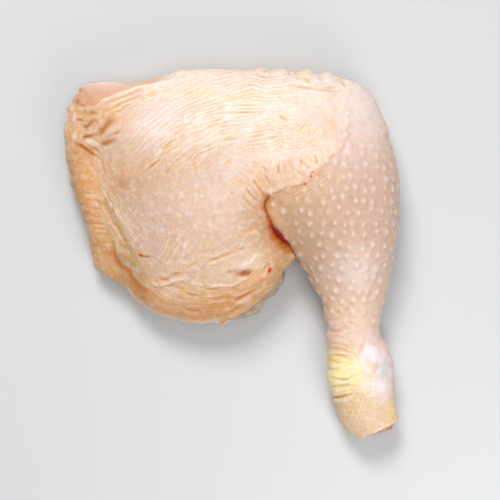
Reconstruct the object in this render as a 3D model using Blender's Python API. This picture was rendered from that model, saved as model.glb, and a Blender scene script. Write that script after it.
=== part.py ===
"""A raw chicken leg quarter lying skin side up: thigh, knee, drumstick and a stub of shank, in one piece.

The leg is in millimetres while it is drawn and in metres once it is a mesh.  +X runs from the hip end
towards the drumstick, +Y from the shank up to the knee, +Z up, and the origin is under the middle of
the leg on the surface that it lies on.  Three soft masses, the thigh, the loose skin folded along its
hip edge and the drumstick with its shank, are joined and blended into one skin.  Then the deep fold
behind the knee is cut in, the shank is cut off at the joint, and the meat is flat where it rests.
"""

import math

import bmesh
import bpy

MM = 0.001

# Driving sizes, in millimetres and degrees.
THIGH_HEIGHT = 38.5
THIGH_CROWN = (-13.0, 33.0)
SHANK_CUT = (66.5, -78.8)
SHANK_CUT_TURN = 25.0
FOLD_TOP = 44.0
FOLD_FLOOR = 0.35
BLEND_GRAIN = 3.75
BLEND_PASSES = 5
WELD_GAP = 0.05

# How full the thigh's back is: its roundness above and below the widest line of the flank.
BACK_REACH, BACK_RISE = 0.80, 0.80
BELLY_REACH, BELLY_DROP = 0.55, 0.90
BACK_FALL = 2.4
UNDER_CUT = 1.0

# A limb's ends bulge by this share of their height, and the cutting blocks reach well past the leg.
TIP_BULGE = 0.3
BLOCK_REACH = 120.0

# How finely the masses are drawn before they are blended.
POINTS_PER_SPAN = 4
RING_POINTS = 32
DOME_RINGS = 14

# The thigh seen from above, anticlockwise from the cut corner at the hip: x, y, the height of the
# widest line of the flank there, and how high the back stands just inside that edge.
THIGH_EDGE = [
    (-70.3, 73.6, 7.0, 18.0),
    (-75.0, 62.5, 8.0, 14.0),
    (-75.6, 51.0, 9.0, 13.0),
    (-72.8, 34.5, 9.0, 13.0),
    (-67.8, 18.5, 9.0, 13.0),
    (-64.0, 3.5, 9.0, 13.0),
    (-61.6, -7.2, 9.0, 14.0),
    (-50.2, -14.6, 10.0, 19.5),
    (-39.6, -24.0, 11.0, 26.5),
    (-26.9, -30.0, 12.0, 29.0),
    (-11.8, -31.8, 13.0, 31.0),
    (3.0, -30.0, 14.0, 32.0),
    (13.8, -23.6, 15.0, 33.0),
    (21.6, -13.9, 16.0, 35.0),
    (26.2, -2.0, 17.0, 35.5),
    (26.5, 9.5, 18.0, 36.5),
    (28.5, 20.0, 19.0, 38.5),
    (38.0, 29.0, 22.0, 40.5),
    (54.0, 41.0, 22.0, 39.5),
    (68.6, 54.5, 17.0, 35.5),
    (67.2, 65.2, 16.0, 35.0),
    (57.6, 75.8, 16.0, 35.0),
    (40.0, 81.2, 15.0, 35.5),
    (17.0, 82.6, 14.0, 35.5),
    (-7.5, 82.6, 13.0, 34.0),
    (-27.0, 81.0, 10.0, 30.0),
    (-50.0, 77.0, 8.0, 23.5),
]

# Loose skin folded along the hip edge: x, y, z of its core and its radius across and up.
SKIN_FOLD = [
    (-66.0, 60.0, 8.5, 7.0, 7.0),
    (-65.3, 42.0, 10.0, 8.6, 9.5),
    (-60.2, 24.0, 10.5, 8.6, 10.0),
    (-55.8, 8.0, 10.5, 8.2, 10.0),
    (-53.2, -4.5, 9.0, 7.6, 8.5),
]

# Drumstick, hock and shank: x, y, z of the core, then the radius across and the radius up.
DRUMSTICK = [
    (46.5, 63.0, 17.0, 14.5, 12.0),
    (47.2, 51.0, 18.0, 24.0, 17.5),
    (46.2, 39.5, 19.0, 28.4, 20.0),
    (44.9, 26.0, 19.5, 30.1, 21.5),
    (46.3, 12.5, 19.5, 28.6, 21.0),
    (49.6, 1.4, 18.0, 23.6, 19.0),
    (52.6, -10.1, 16.5, 18.8, 16.0),
    (53.8, -20.8, 15.0, 14.6, 13.0),
    (53.8, -30.6, 14.0, 12.6, 11.0),
    (54.3, -36.0, 13.5, 12.7, 10.5),
    (56.0, -43.1, 13.0, 14.3, 11.5),
    (57.2, -51.1, 13.0, 15.2, 12.0),
    (57.6, -59.1, 12.0, 15.0, 11.5),
    (58.9, -66.6, 11.0, 14.5, 10.5),
    (61.0, -74.2, 10.5, 13.6, 10.0),
    (63.2, -78.8, 10.0, 12.6, 9.0),
    (65.4, -82.4, 9.5, 10.8, 8.0),
    (67.6, -85.6, 9.5, 7.8, 6.0),
]

# The fold between thigh and drumstick, from behind the knee out to the crotch: x, y, how deep it
# reaches and how wide it gapes at the top.
KNEE_FOLD = [
    (15.4, 25.5, 35.5, 0.8),
    (14.7, 20.8, 29.0, 1.3),
    (16.7, 15.2, 24.0, 1.6),
    (19.9, 10.0, 17.0, 2.8),
    (23.7, 5.6, 10.0, 3.2),
    (26.5, 2.1, 5.0, 2.8),
    (28.4, -1.7, -2.0, 2.6),
    (29.2, -7.5, -2.0, 4.4),
]


def spline(a, b, c, d, t):
    """The point a share t of the way from b to c on a smooth curve that also passes a and d."""
    return tuple(
        0.5 * (2 * q + (r - p) * t + (2 * p - 5 * q + 4 * r - s) * t**2 + (3 * q - p - 3 * r + s) * t**3)
        for p, q, r, s in zip(a, b, c, d)
    )


def smooth_loop(stations):
    """Stations joined end to start by a smooth closed curve."""
    count = len(stations)
    curve = []
    for i in range(count):
        around = [stations[(i + k) % count] for k in (-1, 0, 1, 2)]
        curve += [spline(*around, step / POINTS_PER_SPAN) for step in range(POINTS_PER_SPAN)]
    return curve


def smooth_run(stations):
    """Stations joined by a smooth open curve that keeps both its ends."""
    last = len(stations) - 1
    curve = []
    for i in range(last):
        around = [stations[min(max(i + k, 0), last)] for k in (-1, 0, 1, 2)]
        curve += [spline(*around, step / POINTS_PER_SPAN) for step in range(POINTS_PER_SPAN)]
    return curve + [stations[last]]


def solid(name, points, faces):
    """A mesh object from points in millimetres, with its faces turned outwards."""
    mesh = bpy.data.meshes.new(name)
    mesh.from_pydata([tuple(c * MM for c in p) for p in points], [], faces)
    work = bmesh.new()
    work.from_mesh(mesh)
    bmesh.ops.recalc_face_normals(work, faces=work.faces)
    work.to_mesh(mesh)
    work.free()
    piece = bpy.data.objects.new(name, mesh)
    bpy.context.scene.collection.objects.link(piece)
    return piece


def shell(name, rings, start, end):
    """A closed mesh object from rings of equal length, shut by a fan at each end."""
    size = len(rings[0])
    points = [start] + [p for ring in rings for p in ring] + [end]
    faces = [(0, 1 + (k + 1) % size, 1 + k) for k in range(size)]
    for r in range(len(rings) - 1):
        low, high = 1 + r * size, 1 + (r + 1) * size
        for k in range(size):
            after = (k + 1) % size
            faces.append((low + k, low + after, high + after, high + k))
    top = 1 + (len(rings) - 1) * size
    faces += [(len(points) - 1, top + k, top + (k + 1) % size) for k in range(size)]
    return solid(name, points, faces)


def thigh_mass():
    """A crowned pillow: rings drawn in from the edge to the crown, above and below the flank."""
    edge = smooth_loop(THIGH_EDGE)
    cx, cy = THIGH_CROWN
    rings = []
    for step in range(1, 2 * DOME_RINGS):
        tilt = math.pi / 2 * (step / DOME_RINGS - 1)
        reach = math.cos(tilt) ** (BELLY_REACH if tilt < 0 else BACK_REACH)
        ring = []
        for x, y, flank, back in edge:
            high = THIGH_HEIGHT + (back - THIGH_HEIGHT) * reach**BACK_FALL
            if tilt < 0:
                z = flank - (flank + UNDER_CUT) * math.sin(-tilt) ** BELLY_DROP
            else:
                z = flank + (high - flank) * math.sin(tilt) ** BACK_RISE
            ring.append((cx + (x - cx) * reach, cy + (y - cy) * reach, z))
        rings.append(ring)
    return shell("thigh", rings, (cx, cy, -UNDER_CUT), (cx, cy, THIGH_HEIGHT))


def limb(name, stations):
    """A limb of oval rings, upright and square to Y, that run along its core."""
    rings = []
    for x, y, z, across, up in smooth_run(stations):
        turns = [2 * math.pi * k / RING_POINTS for k in range(RING_POINTS)]
        rings.append([(x + across * math.cos(turn), y, z + up * math.sin(turn)) for turn in turns])
    ends = [stations[0], stations[-1]]
    tips = [(x, y + TIP_BULGE * up * side, z) for (x, y, z, across, up), side in zip(ends, (1, -1))]
    return shell(name, rings, *tips)


def blade(name, stations):
    """A wedge that follows a line across the skin: narrow below, gaping above."""
    line = smooth_run(stations)
    rings = []
    for i, (x, y, deep, gape) in enumerate(line):
        before, after = line[max(i - 1, 0)], line[min(i + 1, len(line) - 1)]
        along_x, along_y = after[0] - before[0], after[1] - before[1]
        reach = gape / 2 / math.hypot(along_x, along_y)
        ring = []
        for share, z in ((-FOLD_FLOOR, deep), (FOLD_FLOOR, deep), (1.0, FOLD_TOP), (-1.0, FOLD_TOP)):
            ring.append((x - along_y * reach * share, y + along_x * reach * share, z))
        rings.append(ring)
    middle = [tuple(sum(c) / 4 for c in zip(*ring)) for ring in (rings[0], rings[-1])]
    return shell(name, rings, *middle)


def block(name, low, high):
    """A plain box between two corners."""
    corners = [(x, y, z) for x in (low[0], high[0]) for y in (low[1], high[1]) for z in (low[2], high[2])]
    faces = [(0, 1, 3, 2), (4, 6, 7, 5), (0, 4, 5, 1), (2, 3, 7, 6), (0, 2, 6, 4), (1, 5, 7, 3)]
    return solid(name, corners, faces)


def combine(piece, other, operation):
    """Join or cut a piece with another, which then only serves as the tool."""
    change = piece.modifiers.new(other.name, "BOOLEAN")
    change.operation = operation
    change.object = other
    other.hide_render = True
    other.display_type = "WIRE"


def raw_skin():
    """Pale, moist poultry skin."""
    skin = bpy.data.materials.new("raw_skin")
    skin.use_nodes = True
    shader = skin.node_tree.nodes["Principled BSDF"]
    shader.inputs["Base Color"].default_value = (0.83, 0.61, 0.43, 1.0)
    shader.inputs["Roughness"].default_value = 0.42
    shader.inputs["Metallic"].default_value = 0.0
    return skin


for old in list(bpy.data.objects):
    bpy.data.objects.remove(old)

leg = thigh_mass()
leg.name = "leg_quarter"
combine(leg, limb("skin_fold", SKIN_FOLD), "UNION")
combine(leg, limb("drumstick", DRUMSTICK), "UNION")

blend = leg.modifiers.new("blend", "REMESH")
blend.mode = "VOXEL"
blend.voxel_size = BLEND_GRAIN * MM
soften = leg.modifiers.new("soften", "SMOOTH")
soften.factor = 0.5
soften.iterations = BLEND_PASSES

combine(leg, blade("knee_fold", KNEE_FOLD), "DIFFERENCE")
shank_cut = block("shank_cut", (-BLOCK_REACH, -BLOCK_REACH, -BLOCK_REACH), (BLOCK_REACH, 0.0, BLOCK_REACH))
shank_cut.location = (SHANK_CUT[0] * MM, SHANK_CUT[1] * MM, 0.0)
shank_cut.rotation_euler.z = math.radians(SHANK_CUT_TURN)
combine(leg, shank_cut, "DIFFERENCE")
rest_plane = block("rest_plane", (-BLOCK_REACH, -BLOCK_REACH, -BLOCK_REACH), (BLOCK_REACH, BLOCK_REACH, 0.0))
combine(leg, rest_plane, "DIFFERENCE")
tidy = leg.modifiers.new("tidy", "WELD")
tidy.merge_threshold = WELD_GAP * MM
leg.data.materials.append(raw_skin())
leg.data.shade_smooth()
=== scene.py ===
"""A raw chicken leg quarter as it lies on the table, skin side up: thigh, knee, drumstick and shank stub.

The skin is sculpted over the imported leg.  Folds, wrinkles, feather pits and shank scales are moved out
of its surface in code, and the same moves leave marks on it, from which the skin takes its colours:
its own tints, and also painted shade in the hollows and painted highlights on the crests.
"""

import math

import bpy
import numpy as np
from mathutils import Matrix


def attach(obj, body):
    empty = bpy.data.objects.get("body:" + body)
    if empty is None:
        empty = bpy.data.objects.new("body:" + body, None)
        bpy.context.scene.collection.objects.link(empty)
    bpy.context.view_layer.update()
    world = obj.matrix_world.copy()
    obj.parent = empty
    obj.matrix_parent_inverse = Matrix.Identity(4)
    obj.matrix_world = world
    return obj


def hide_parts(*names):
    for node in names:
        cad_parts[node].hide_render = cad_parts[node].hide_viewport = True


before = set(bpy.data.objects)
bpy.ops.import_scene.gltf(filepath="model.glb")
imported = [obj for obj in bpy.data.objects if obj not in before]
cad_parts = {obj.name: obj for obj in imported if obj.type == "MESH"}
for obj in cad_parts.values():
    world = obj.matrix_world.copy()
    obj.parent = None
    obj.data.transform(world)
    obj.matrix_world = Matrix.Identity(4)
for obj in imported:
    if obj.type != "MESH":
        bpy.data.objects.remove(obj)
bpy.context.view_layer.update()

# ---------------------------------------------------------------------------------------------------
# The camera looks straight down on the leg from well above, with the knee at the far side and the
# shank near, and a long lens that keeps its outline true.
MM = 0.001
EYE = (8.2, 1.4, 850.0)
PICTURE_WIDTH = 226.5
FILM_WIDTH = 36.0

lens = bpy.data.cameras.new("camera")
lens.sensor_width = FILM_WIDTH
lens.lens = FILM_WIDTH * EYE[2] / PICTURE_WIDTH
lens.clip_start = 0.05
camera = bpy.data.objects.new("camera", lens)
camera.location = [c * MM for c in EYE]
bpy.context.scene.collection.objects.link(camera)
bpy.context.scene.camera = camera

# ---------------------------------------------------------------------------------------------------
# The skin covers the whole leg in one sheet, with fat and meat right under it.  It starts as a close
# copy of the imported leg, drawn fine enough to hold wrinkles, with the leg's facets smoothed away.
SKIN_GRAIN = 0.45
SMOOTH_ROUNDS = 70
WIDEST_LINE = 15.0

bpy.ops.object.select_all(action="DESELECT")
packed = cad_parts["leg_quarter"]
skin = bpy.data.objects.new("skin", packed.data.copy())
bpy.context.scene.collection.objects.link(skin)
skin.data.materials.clear()
skin.select_set(True)
bpy.context.view_layer.objects.active = skin
bpy.ops.object.mode_set(mode="EDIT")
bpy.ops.mesh.select_all(action="SELECT")
bpy.ops.mesh.remove_doubles(threshold=0.00001)
bpy.ops.object.mode_set(mode="OBJECT")
grain = skin.modifiers.new("grain", "REMESH")
grain.mode = "VOXEL"
grain.voxel_size = SKIN_GRAIN * MM
bpy.ops.object.modifier_apply(modifier="grain")
evener = skin.modifiers.new("evener", "SMOOTH")
evener.factor = 0.5
evener.iterations = SMOOTH_ROUNDS
bpy.ops.object.modifier_apply(modifier="evener")


def read_points(mesh, field):
    """One vector for each vertex of a mesh, as rows of an array."""
    values = np.empty(len(mesh.vertices) * 3, np.float32)
    mesh.vertices.foreach_get(field, values)
    return values.reshape(-1, 3).astype(float)


def as_seen(points):
    """Where the camera sees points of the leg, at the height of its widest line."""
    nearer = (EYE[2] - WIDEST_LINE) / (EYE[2] - points[:, 2])
    return np.array(EYE[:2]) + (points[:, :2] - EYE[:2]) * nearer[:, None]


def smooth_route(corners, step):
    """A smooth line through given corners, as points about a step apart."""
    knots = [corners[0], *corners, corners[-1]]
    line = []
    for a, b, c, d in zip(knots, knots[1:], knots[2:], knots[3:]):
        pieces = max(2, int(math.dist(b, c) / step))
        for t in np.arange(pieces) / pieces:
            line.append([
                0.5 * (
                    2 * q + (r - p) * t + (2 * p - 5 * q + 4 * r - s) * t**2 + (3 * q - p - 3 * r + s) * t**3
                )
                for p, q, r, s in zip(a, b, c, d)
            ])
    return np.array([*line, corners[-1]], float)


def fade(value, low, high):
    """A smooth step from 0 at low to 1 at high."""
    t = np.clip((value - low) / (high - low), 0.0, 1.0)
    return t * t * (3 - 2 * t)


# The skin's outline is uneven: pleats, notches and loose edges.  The flanks are eased out or in to it.
LEG_OUTLINE = [
    (-69.5, 68.8), (-69.1, 70.0), (-69.6, 72.4), (-68.1, 74.7), (-64.5, 75.5), (-55.8, 76.1), (-49.2, 76.1),
    (-42.5, 76.5), (-34.9, 78.1), (-29.1, 79.5), (-26.7, 80.6), (-24.9, 82.2), (-23.5, 81.6), (-21.4, 82.3),
    (-19.4, 81.6), (-11.8, 82.0), (-4.7, 82.0), (5.1, 81.4), (9.1, 81.4), (11.3, 82.4), (13.3, 82.7),
    (15.4, 82.2), (17.2, 81.2), (19.8, 82.2), (22.7, 82.5), (25.6, 81.8), (28.3, 80.5), (30.9, 81.5),
    (33.8, 81.8), (36.3, 81.1), (38.6, 79.7), (40.7, 80.6), (43.1, 81.0), (45.6, 79.8), (49.1, 77.6),
    (51.8, 77.3), (55.7, 75.7), (59.0, 73.7), (63.6, 68.6), (66.4, 62.5), (69.9, 54.6), (70.4, 50.2),
    (72.4, 43.6), (74.1, 37.3), (74.7, 29.9), (74.7, 21.1), (74.4, 10.3), (72.9, 3.6), (70.8, -9.3),
    (69.6, -15.0), (68.4, -20.1), (66.3, -29.3), (65.9, -33.3), (66.3, -36.4), (67.9, -38.5), (69.9, -41.3),
    (70.5, -44.9), (71.7, -48.2), (72.4, -52.9), (72.4, -62.5), (72.9, -66.0), (74.0, -71.4), (75.0, -75.1),
    (72.3, -76.0), (71.9, -77.7), (67.4, -78.7), (63.7, -80.1), (61.6, -81.3), (58.5, -82.7), (55.4, -82.2),
    (52.6, -80.4), (50.0, -77.7), (47.8, -74.4), (46.4, -70.7), (46.1, -68.0), (45.1, -65.1), (43.7, -60.7),
    (42.8, -57.8), (41.9, -54.4), (42.9, -51.8), (42.1, -48.8), (42.9, -47.0), (42.1, -45.5), (42.7, -43.5),
    (42.1, -39.5), (41.7, -36.7), (42.7, -33.9), (42.1, -31.3), (41.1, -28.4), (40.7, -23.5), (39.8, -21.1),
    (36.1, -14.6), (32.3, -7.5),
]
THIGH_OUTLINE = [
    (27.1, -3.0), (26.2, -5.0), (24.0, -7.0), (21.1, -11.9), (19.4, -14.2), (17.6, -16.6), (13.6, -19.9),
    (10.5, -23.7), (7.3, -25.9), (2.9, -28.6), (-1.1, -29.9), (-6.9, -30.5), (-13.6, -31.1), (-19.4, -30.6),
    (-24.9, -29.5), (-30.6, -27.9), (-36.8, -25.1), (-40.0, -22.7), (-42.3, -21.0), (-44.7, -19.0),
    (-47.1, -15.6), (-49.4, -13.8), (-52.5, -12.4), (-57.3, -9.5), (-60.3, -7.7), (-61.9, -4.7),
    (-62.0, -1.7), (-62.9, 3.2), (-63.8, 8.2), (-65.2, 12.8), (-67.4, 19.2), (-69.1, 23.7), (-70.4, 27.7),
    (-71.9, 32.1), (-72.0, 35.7), (-73.4, 40.1), (-73.8, 43.9), (-74.3, 49.1), (-75.0, 53.5), (-74.1, 57.2),
    (-73.7, 61.1), (-73.4, 64.9), (-71.8, 67.4), (-70.3, 68.6),
]
OUTLINE_STEP = 0.7
EASE_DEPTH = 7.0

rest = read_points(skin.data, "co") / MM
for corners in (LEG_OUTLINE, THIGH_OUTLINE):
    line = smooth_route(corners, OUTLINE_STEP)
    way = np.gradient(line, axis=0)
    way /= np.hypot(*way.T)[:, None]
    outward = np.column_stack([-way[:, 1], way[:, 0]])
    plan = as_seen(rest)
    lack = np.zeros(len(line))
    near = np.flatnonzero(((plan > line.min(0) - 9) & (plan < line.max(0) + 9)).all(1))
    nearest = np.zeros(len(near), int)
    least = np.full(len(near), 1e9)
    for k, middle in enumerate(line):
        gap = plan[near] - middle
        past = gap @ outward[k]
        here = (np.abs(gap @ way[k]) < OUTLINE_STEP) & (np.abs(past) < 5.0)
        lack[k] = -past[here].max() if here.any() else 0.0
        far = np.hypot(*gap.T)
        nearest = np.where(far < least, k, nearest)
        least = np.minimum(far, least)
    lack = np.convolve(np.pad(lack, 1, mode="edge"), (0.25, 0.5, 0.25), "valid")
    lack *= np.minimum(1.0, np.minimum(np.arange(len(line)), np.arange(len(line))[::-1]) / 6)
    ease = fade(EASE_DEPTH - least, 0.0, EASE_DEPTH)
    rest[near, :2] += outward[nearest] * (lack[nearest] * ease)[:, None]
skin.data.vertices.foreach_set("co", (rest * MM).astype(np.float32).ravel())
skin.data.update()
out = read_points(skin.data, "normal")
plan = as_seen(rest)
upward = np.clip((out[:, 2] + 0.30) / 0.45, 0.0, 1.0)
lift = np.zeros(len(rest))

# ---------------------------------------------------------------------------------------------------
# Over the knee the thigh's skin ends in a free edge that laps over the drumstick.  It is a soft lip
# about a millimetre thick, which stands up a little from the skin beneath.  Its shadow is painted in,
# brown just under the lip, with orange painted shade along the edge, both fading towards its end; its
# top carries a painted highlight.

# Odd steps, so large that neighbouring grid corners get unrelated random values.
SEED_STEP = 374761393
AXIS_STEP = (668265263, 2147483647, 1274126177)
# Each mark is a mask over the skin's points, and tells where its colour or its look belongs.
marks = {}


def beside(corners, reach, step=0.8):
    """The skin near a route: which points, how far off, on its left (1) or right (-1), how far along."""
    line = smooth_route(corners, step)
    low, high = line.min(0) - reach, line.max(0) + reach
    near = np.flatnonzero(((plan > low) & (plan < high)).all(1) & (upward > 0))
    start, run = line[:-1], np.diff(line, axis=0)
    length = np.hypot(*run.T)
    from_start = plan[near, None] - start
    share = np.clip((from_start * run).sum(2) / length**2, 0.0, 1.0)
    gap = from_start - share[..., None] * run
    away = np.hypot(gap[..., 0], gap[..., 1])
    best = away.argmin(1)
    pick = np.arange(len(near)), best
    left = np.sign(run[best, 0] * gap[pick][:, 1] - run[best, 1] * gap[pick][:, 0])
    along = np.concatenate([[0.0], np.cumsum(length)])[best] + share[pick] * length[best]
    close = away[pick] < reach
    return near[close], away[pick][close], left[close], along[close], length.sum()


def bell(distance, width):
    """A smooth hump: 1 at no distance, fading over a width."""
    return np.exp(-((distance / width) ** 2))


def mark(name, where, amount):
    """Deepens a mark on some of the skin's points, without passing full strength."""
    layer = marks.setdefault(name, np.zeros(len(rest)))
    layer[where] = 1 - (1 - layer[where]) * (1 - np.clip(amount, 0.0, 1.0))


def noise(points, size, seed):
    """Smooth random values from -1 to 1, with lumps of a given size along each axis of the points."""
    cell = np.asarray(points, float) / size
    floor = np.floor(cell).astype(np.int64)
    part = cell - floor
    part = part * part * (3 - 2 * part)
    total = 0.0
    for corner in np.ndindex(*(2,) * cell.shape[1]):
        key = np.full(len(cell), seed * SEED_STEP, np.int64)
        weight = np.ones(len(cell))
        for axis, step in enumerate(corner):
            key ^= (floor[:, axis] + step) * AXIS_STEP[axis]
            weight = weight * (part[:, axis] if step else 1 - part[:, axis])
        key = (key ^ (key >> 13)) * AXIS_STEP[2]
        total = total + weight * (((key ^ (key >> 16)) & 0xFFFF) / 32767.5 - 1)
    return total


def spot(name, centre, radius, amount, squash=1.0, turn=0.0):
    """A soft oval patch of one mark, turned in degrees."""
    c, s = math.cos(math.radians(turn)), math.sin(math.radians(turn))
    x, y = (plan - centre).T
    far = np.hypot(c * x + s * y, (c * y - s * x) / squash) / radius
    where = np.flatnonzero(far < 2.2)
    mark(name, where, amount * bell(far[where], 1.0) * upward[where])


LAP_EDGE = [
    (15.4, 23.7), (17.1, 25.5), (19.4, 26.8), (22.9, 28.6), (26.0, 29.5), (29.1, 29.9), (31.8, 30.8),
    (34.0, 31.7), (35.4, 33.5), (36.3, 35.7), (37.6, 37.0), (40.3, 38.4), (42.9, 41.5), (45.2, 43.7),
    (47.4, 46.4), (49.2, 48.6), (50.5, 52.2), (50.7, 56.2), (50.5, 60.6),
]
LAP_HIGH = 0.45
LAP_RUN = 6.0

where, off, side, along, total = beside(LAP_EDGE, 12.0, 0.4)
lap = fade(along, 0.0, 5.0) * fade(total - along, 6.0, 34.0) * upward[where]
over = fade(off * side + 0.25 * noise(plan[where], 1.8, 15), -0.9, 0.7)
lift[where] += lap * LAP_HIGH * over * (0.3 + 0.7 * bell(off, LAP_RUN))
lift[where] -= lap * 0.25 * (1 - over) * bell(off, 1.3)
# Painted shade: brown under the lip and orange along the edge, fading along it.  Painted highlight on top.
shade = 1 - 0.75 * fade(along, 0.35 * total, 0.6 * total)
shadow_under_lip = shade * lap * (1 - over) * bell(off, 0.9)
mark("brown_stain_and_shadow", where, 0.4 * shadow_under_lip * (0.6 + 0.6 * noise(plan[where], 3.0, 5)))
mark("warm", where, 0.45 * shade * lap * bell(off, 3.0))
mark("highlight_and_pale", where, 0.4 * lap * over * bell(off - 1.3, 1.3) * (0.7 + 0.5 * noise(plan[where], 2.0, 25)))
for centre, size in (((32.6, 30.8), 0.5), ((35.6, 34.1), 0.6), ((36.0, 35.9), 0.4)):
    spot("red", centre, size, 1.3)
for centre, size, amount, turn in (
    ((44.7, 45.9), 2.2, 0.8, 35), ((47.8, 50.8), 2.0, 0.8, 60), ((44.5, 58.2), 1.6, 0.9, -30),
    ((45.4, 55.7), 1.9, 0.9, -50), ((45.2, 51.7), 1.8, 1.0, 80), ((49.6, 52.8), 1.5, 0.7, 70),
    ((48.7, 47.9), 1.7, 0.7, 20), ((40.3, 47.3), 2.2, 0.6, -20), ((51.4, 56.2), 1.4, 0.5, 0),
    ((42.5, 43.3), 2.0, 0.6, 30), ((46.5, 60.6), 1.6, 0.5, 0),
):
    spot("warm", centre, size, amount, 0.6, turn)

# ---------------------------------------------------------------------------------------------------
# Behind the knee thigh and drumstick press together in one deep fold that opens towards the crotch.
# Blood has gathered in it and run a little way over the thigh's skin.
shove = np.zeros((len(rest), 2))


def taper(along, total, ends):
    """A stroke that thins out towards both of its ends."""
    return fade(along, 0.0, ends * total + 0.01) * fade(total - along, 0.0, ends * total + 0.01)


def shaded_crease(corners, wide, deep, shading_paint=0.85, ends=0.3, name="shaded_crease"):
    """A fold line pressed into the skin, with soft lips on both sides and a darker floor.
    The lips are lighter by painted highlights and the floor darker by painted shade.
    """
    where, off, side, along, total = beside(corners, 4 * wide)
    off = np.abs(off * side + 0.35 * wide * noise(plan[where], 2.6, 901))
    stroke = taper(along, total, ends) * upward[where]
    stroke *= np.clip(0.85 + 0.4 * noise(plan[where], 3.0, 903), 0.0, 1.0)
    lift[where] += stroke * deep * (0.22 * bell(off - 2.1 * wide, wide) - bell(off, wide))
    mark(name, where, shading_paint * stroke * bell(off, 1.15 * wide))
    mark("highlight_and_pale", where, 0.4 * shading_paint * stroke * bell(off - 2.1 * wide, 0.9 * wide))


FOLD = [
    (17.1, 26.3), (16.2, 24.6), (15.1, 23.2), (14.7, 20.8), (15.6, 17.9), (16.7, 15.2), (17.6, 12.5),
    (19.4, 10.3), (21.1, 7.7), (24.9, 4.0), (26.5, 2.3), (28.5, -1.7),
]

for route, wide, deep in (
    ([(9.1, 33.9), (10.1, 32.1), (11.1, 30.3), (12.4, 28.5), (13.6, 26.3), (14.5, 24.1)], 0.42, 0.7),
    ([(6.0, 29.9), (7.3, 27.7), (9.1, 25.5), (10.9, 23.7), (13.1, 21.9)], 0.45, 0.7),
    ([(14.5, 35.7), (15.6, 33.5), (16.7, 31.7), (17.4, 29.5)], 0.4, 0.6),
    ([(13.1, 38.4), (14.7, 37.7), (16.2, 36.1)], 0.5, 0.45),
    ([(20.2, 39.7), (20.9, 37.5), (21.6, 34.8)], 0.5, 0.5),
    ([(3.8, 26.8), (6.5, 23.7), (9.1, 21.0), (12.2, 19.2)], 0.5, 0.35),
    ([(30.5, 42.4), (31.2, 40.6), (31.4, 38.4)], 0.5, 0.3),
    ([(36.7, 44.1), (37.4, 41.5), (38.3, 38.8)], 0.5, 0.35),
    ([(3.3, 10.8), (5.1, 9.7), (7.3, 9.7), (9.6, 10.8), (10.9, 12.5)], 0.7, 0.45),
):
    shaded_crease(route, wide, deep)
where, off, side, along, total = beside(FOLD, 7.0, 0.4)
slit = np.interp(along / total, (0.0, 0.3, 0.55, 0.75, 1.0), (0.8, 1.0, 0.75, 0.8, 1.4))
line = smooth_route(FOLD, 0.4)
closest = ((plan[where, None] - line) ** 2).sum(2).argmin(1)
towards = (line[closest] - plan[where]) / (off[:, None] + 0.05)
pull = slit * bell(off - 0.6, 3.0) * np.minimum(1.0, off / slit * 0.9)
shove[where] += towards * pull[:, None]
# The fold's floor and the amber and warm bands beside it are partly blood, partly painted shade down in the
# fold.
shaded_crease(FOLD, 0.6, 0.4, shading_paint=1.3, ends=0.06, name="amber")
where, off, side, along, total = beside(FOLD, 12.0, 0.4)
down = fade(along, 12.0, 18.0) * fade(total - along, 0.5, 5.0) * upward[where]
thigh_side = fade(-off * side, -0.4, 0.4)
streaks = np.clip(0.9 + 0.5 * noise(np.stack([along, off], 1), (1.1, 6.0), 77), 0.0, 1.0)
began = fade(along, 0.0, 3.0) * fade(total - along, 0.0, 3.0) * upward[where]
mark("warm", where, began * (0.35 + 0.6 * thigh_side) * bell(off, 5.0))
mark("amber", where, began * 2.6 * streaks * bell(off, 1.45) * (1 - 0.6 * down * (1 - thigh_side)))
mark("amber", where, began * 0.5 * streaks * bell(off, 3.2) * (1 - 0.6 * down * (1 - thigh_side)))
mark("red", where, 0.5 * began * bell(off, 0.7))
mark("amber", where, 1.4 * down * streaks * thigh_side * bell(off, 4.2))
mark("red", where, 2.4 * down * streaks * thigh_side * bell(off, 1.7) * fade(total - along, 2.0, 11.0))
mark("blood", where, 0.3 * began * bell(off, 0.8))
mark("blood", where, 2.0 * down * thigh_side * bell(off, 1.5) * fade(total - along, 4.0, 10.0))
for patch in (
    ("amber", (15.8, 25.0), 2.4, 1.0, 0.5, -50), ("warm", (21.1, -0.4), 7.0, 0.7, 0.8, -45),
    ("olive", (12.7, 12.1), 8.5, 1.2, 0.6, -70), ("warm", (12.7, 30.8), 11.0, 0.5),
    ("tan", (11.3, 13.0), 11.0, 1.2, 0.6, -70),
):
    spot(*patch)

# ---------------------------------------------------------------------------------------------------
# The thigh's skin is drawn in arcs from the hip over the muscle to the knee, and gathered towards the
# fold like cloth towards a stitch.  Lines finer than the mesh can hold are left as a flow along it.
LINE_GAP = 1.5
line_flow = np.zeros((len(rest), 3))
line_cover = np.zeros((len(rest), 1))


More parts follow.
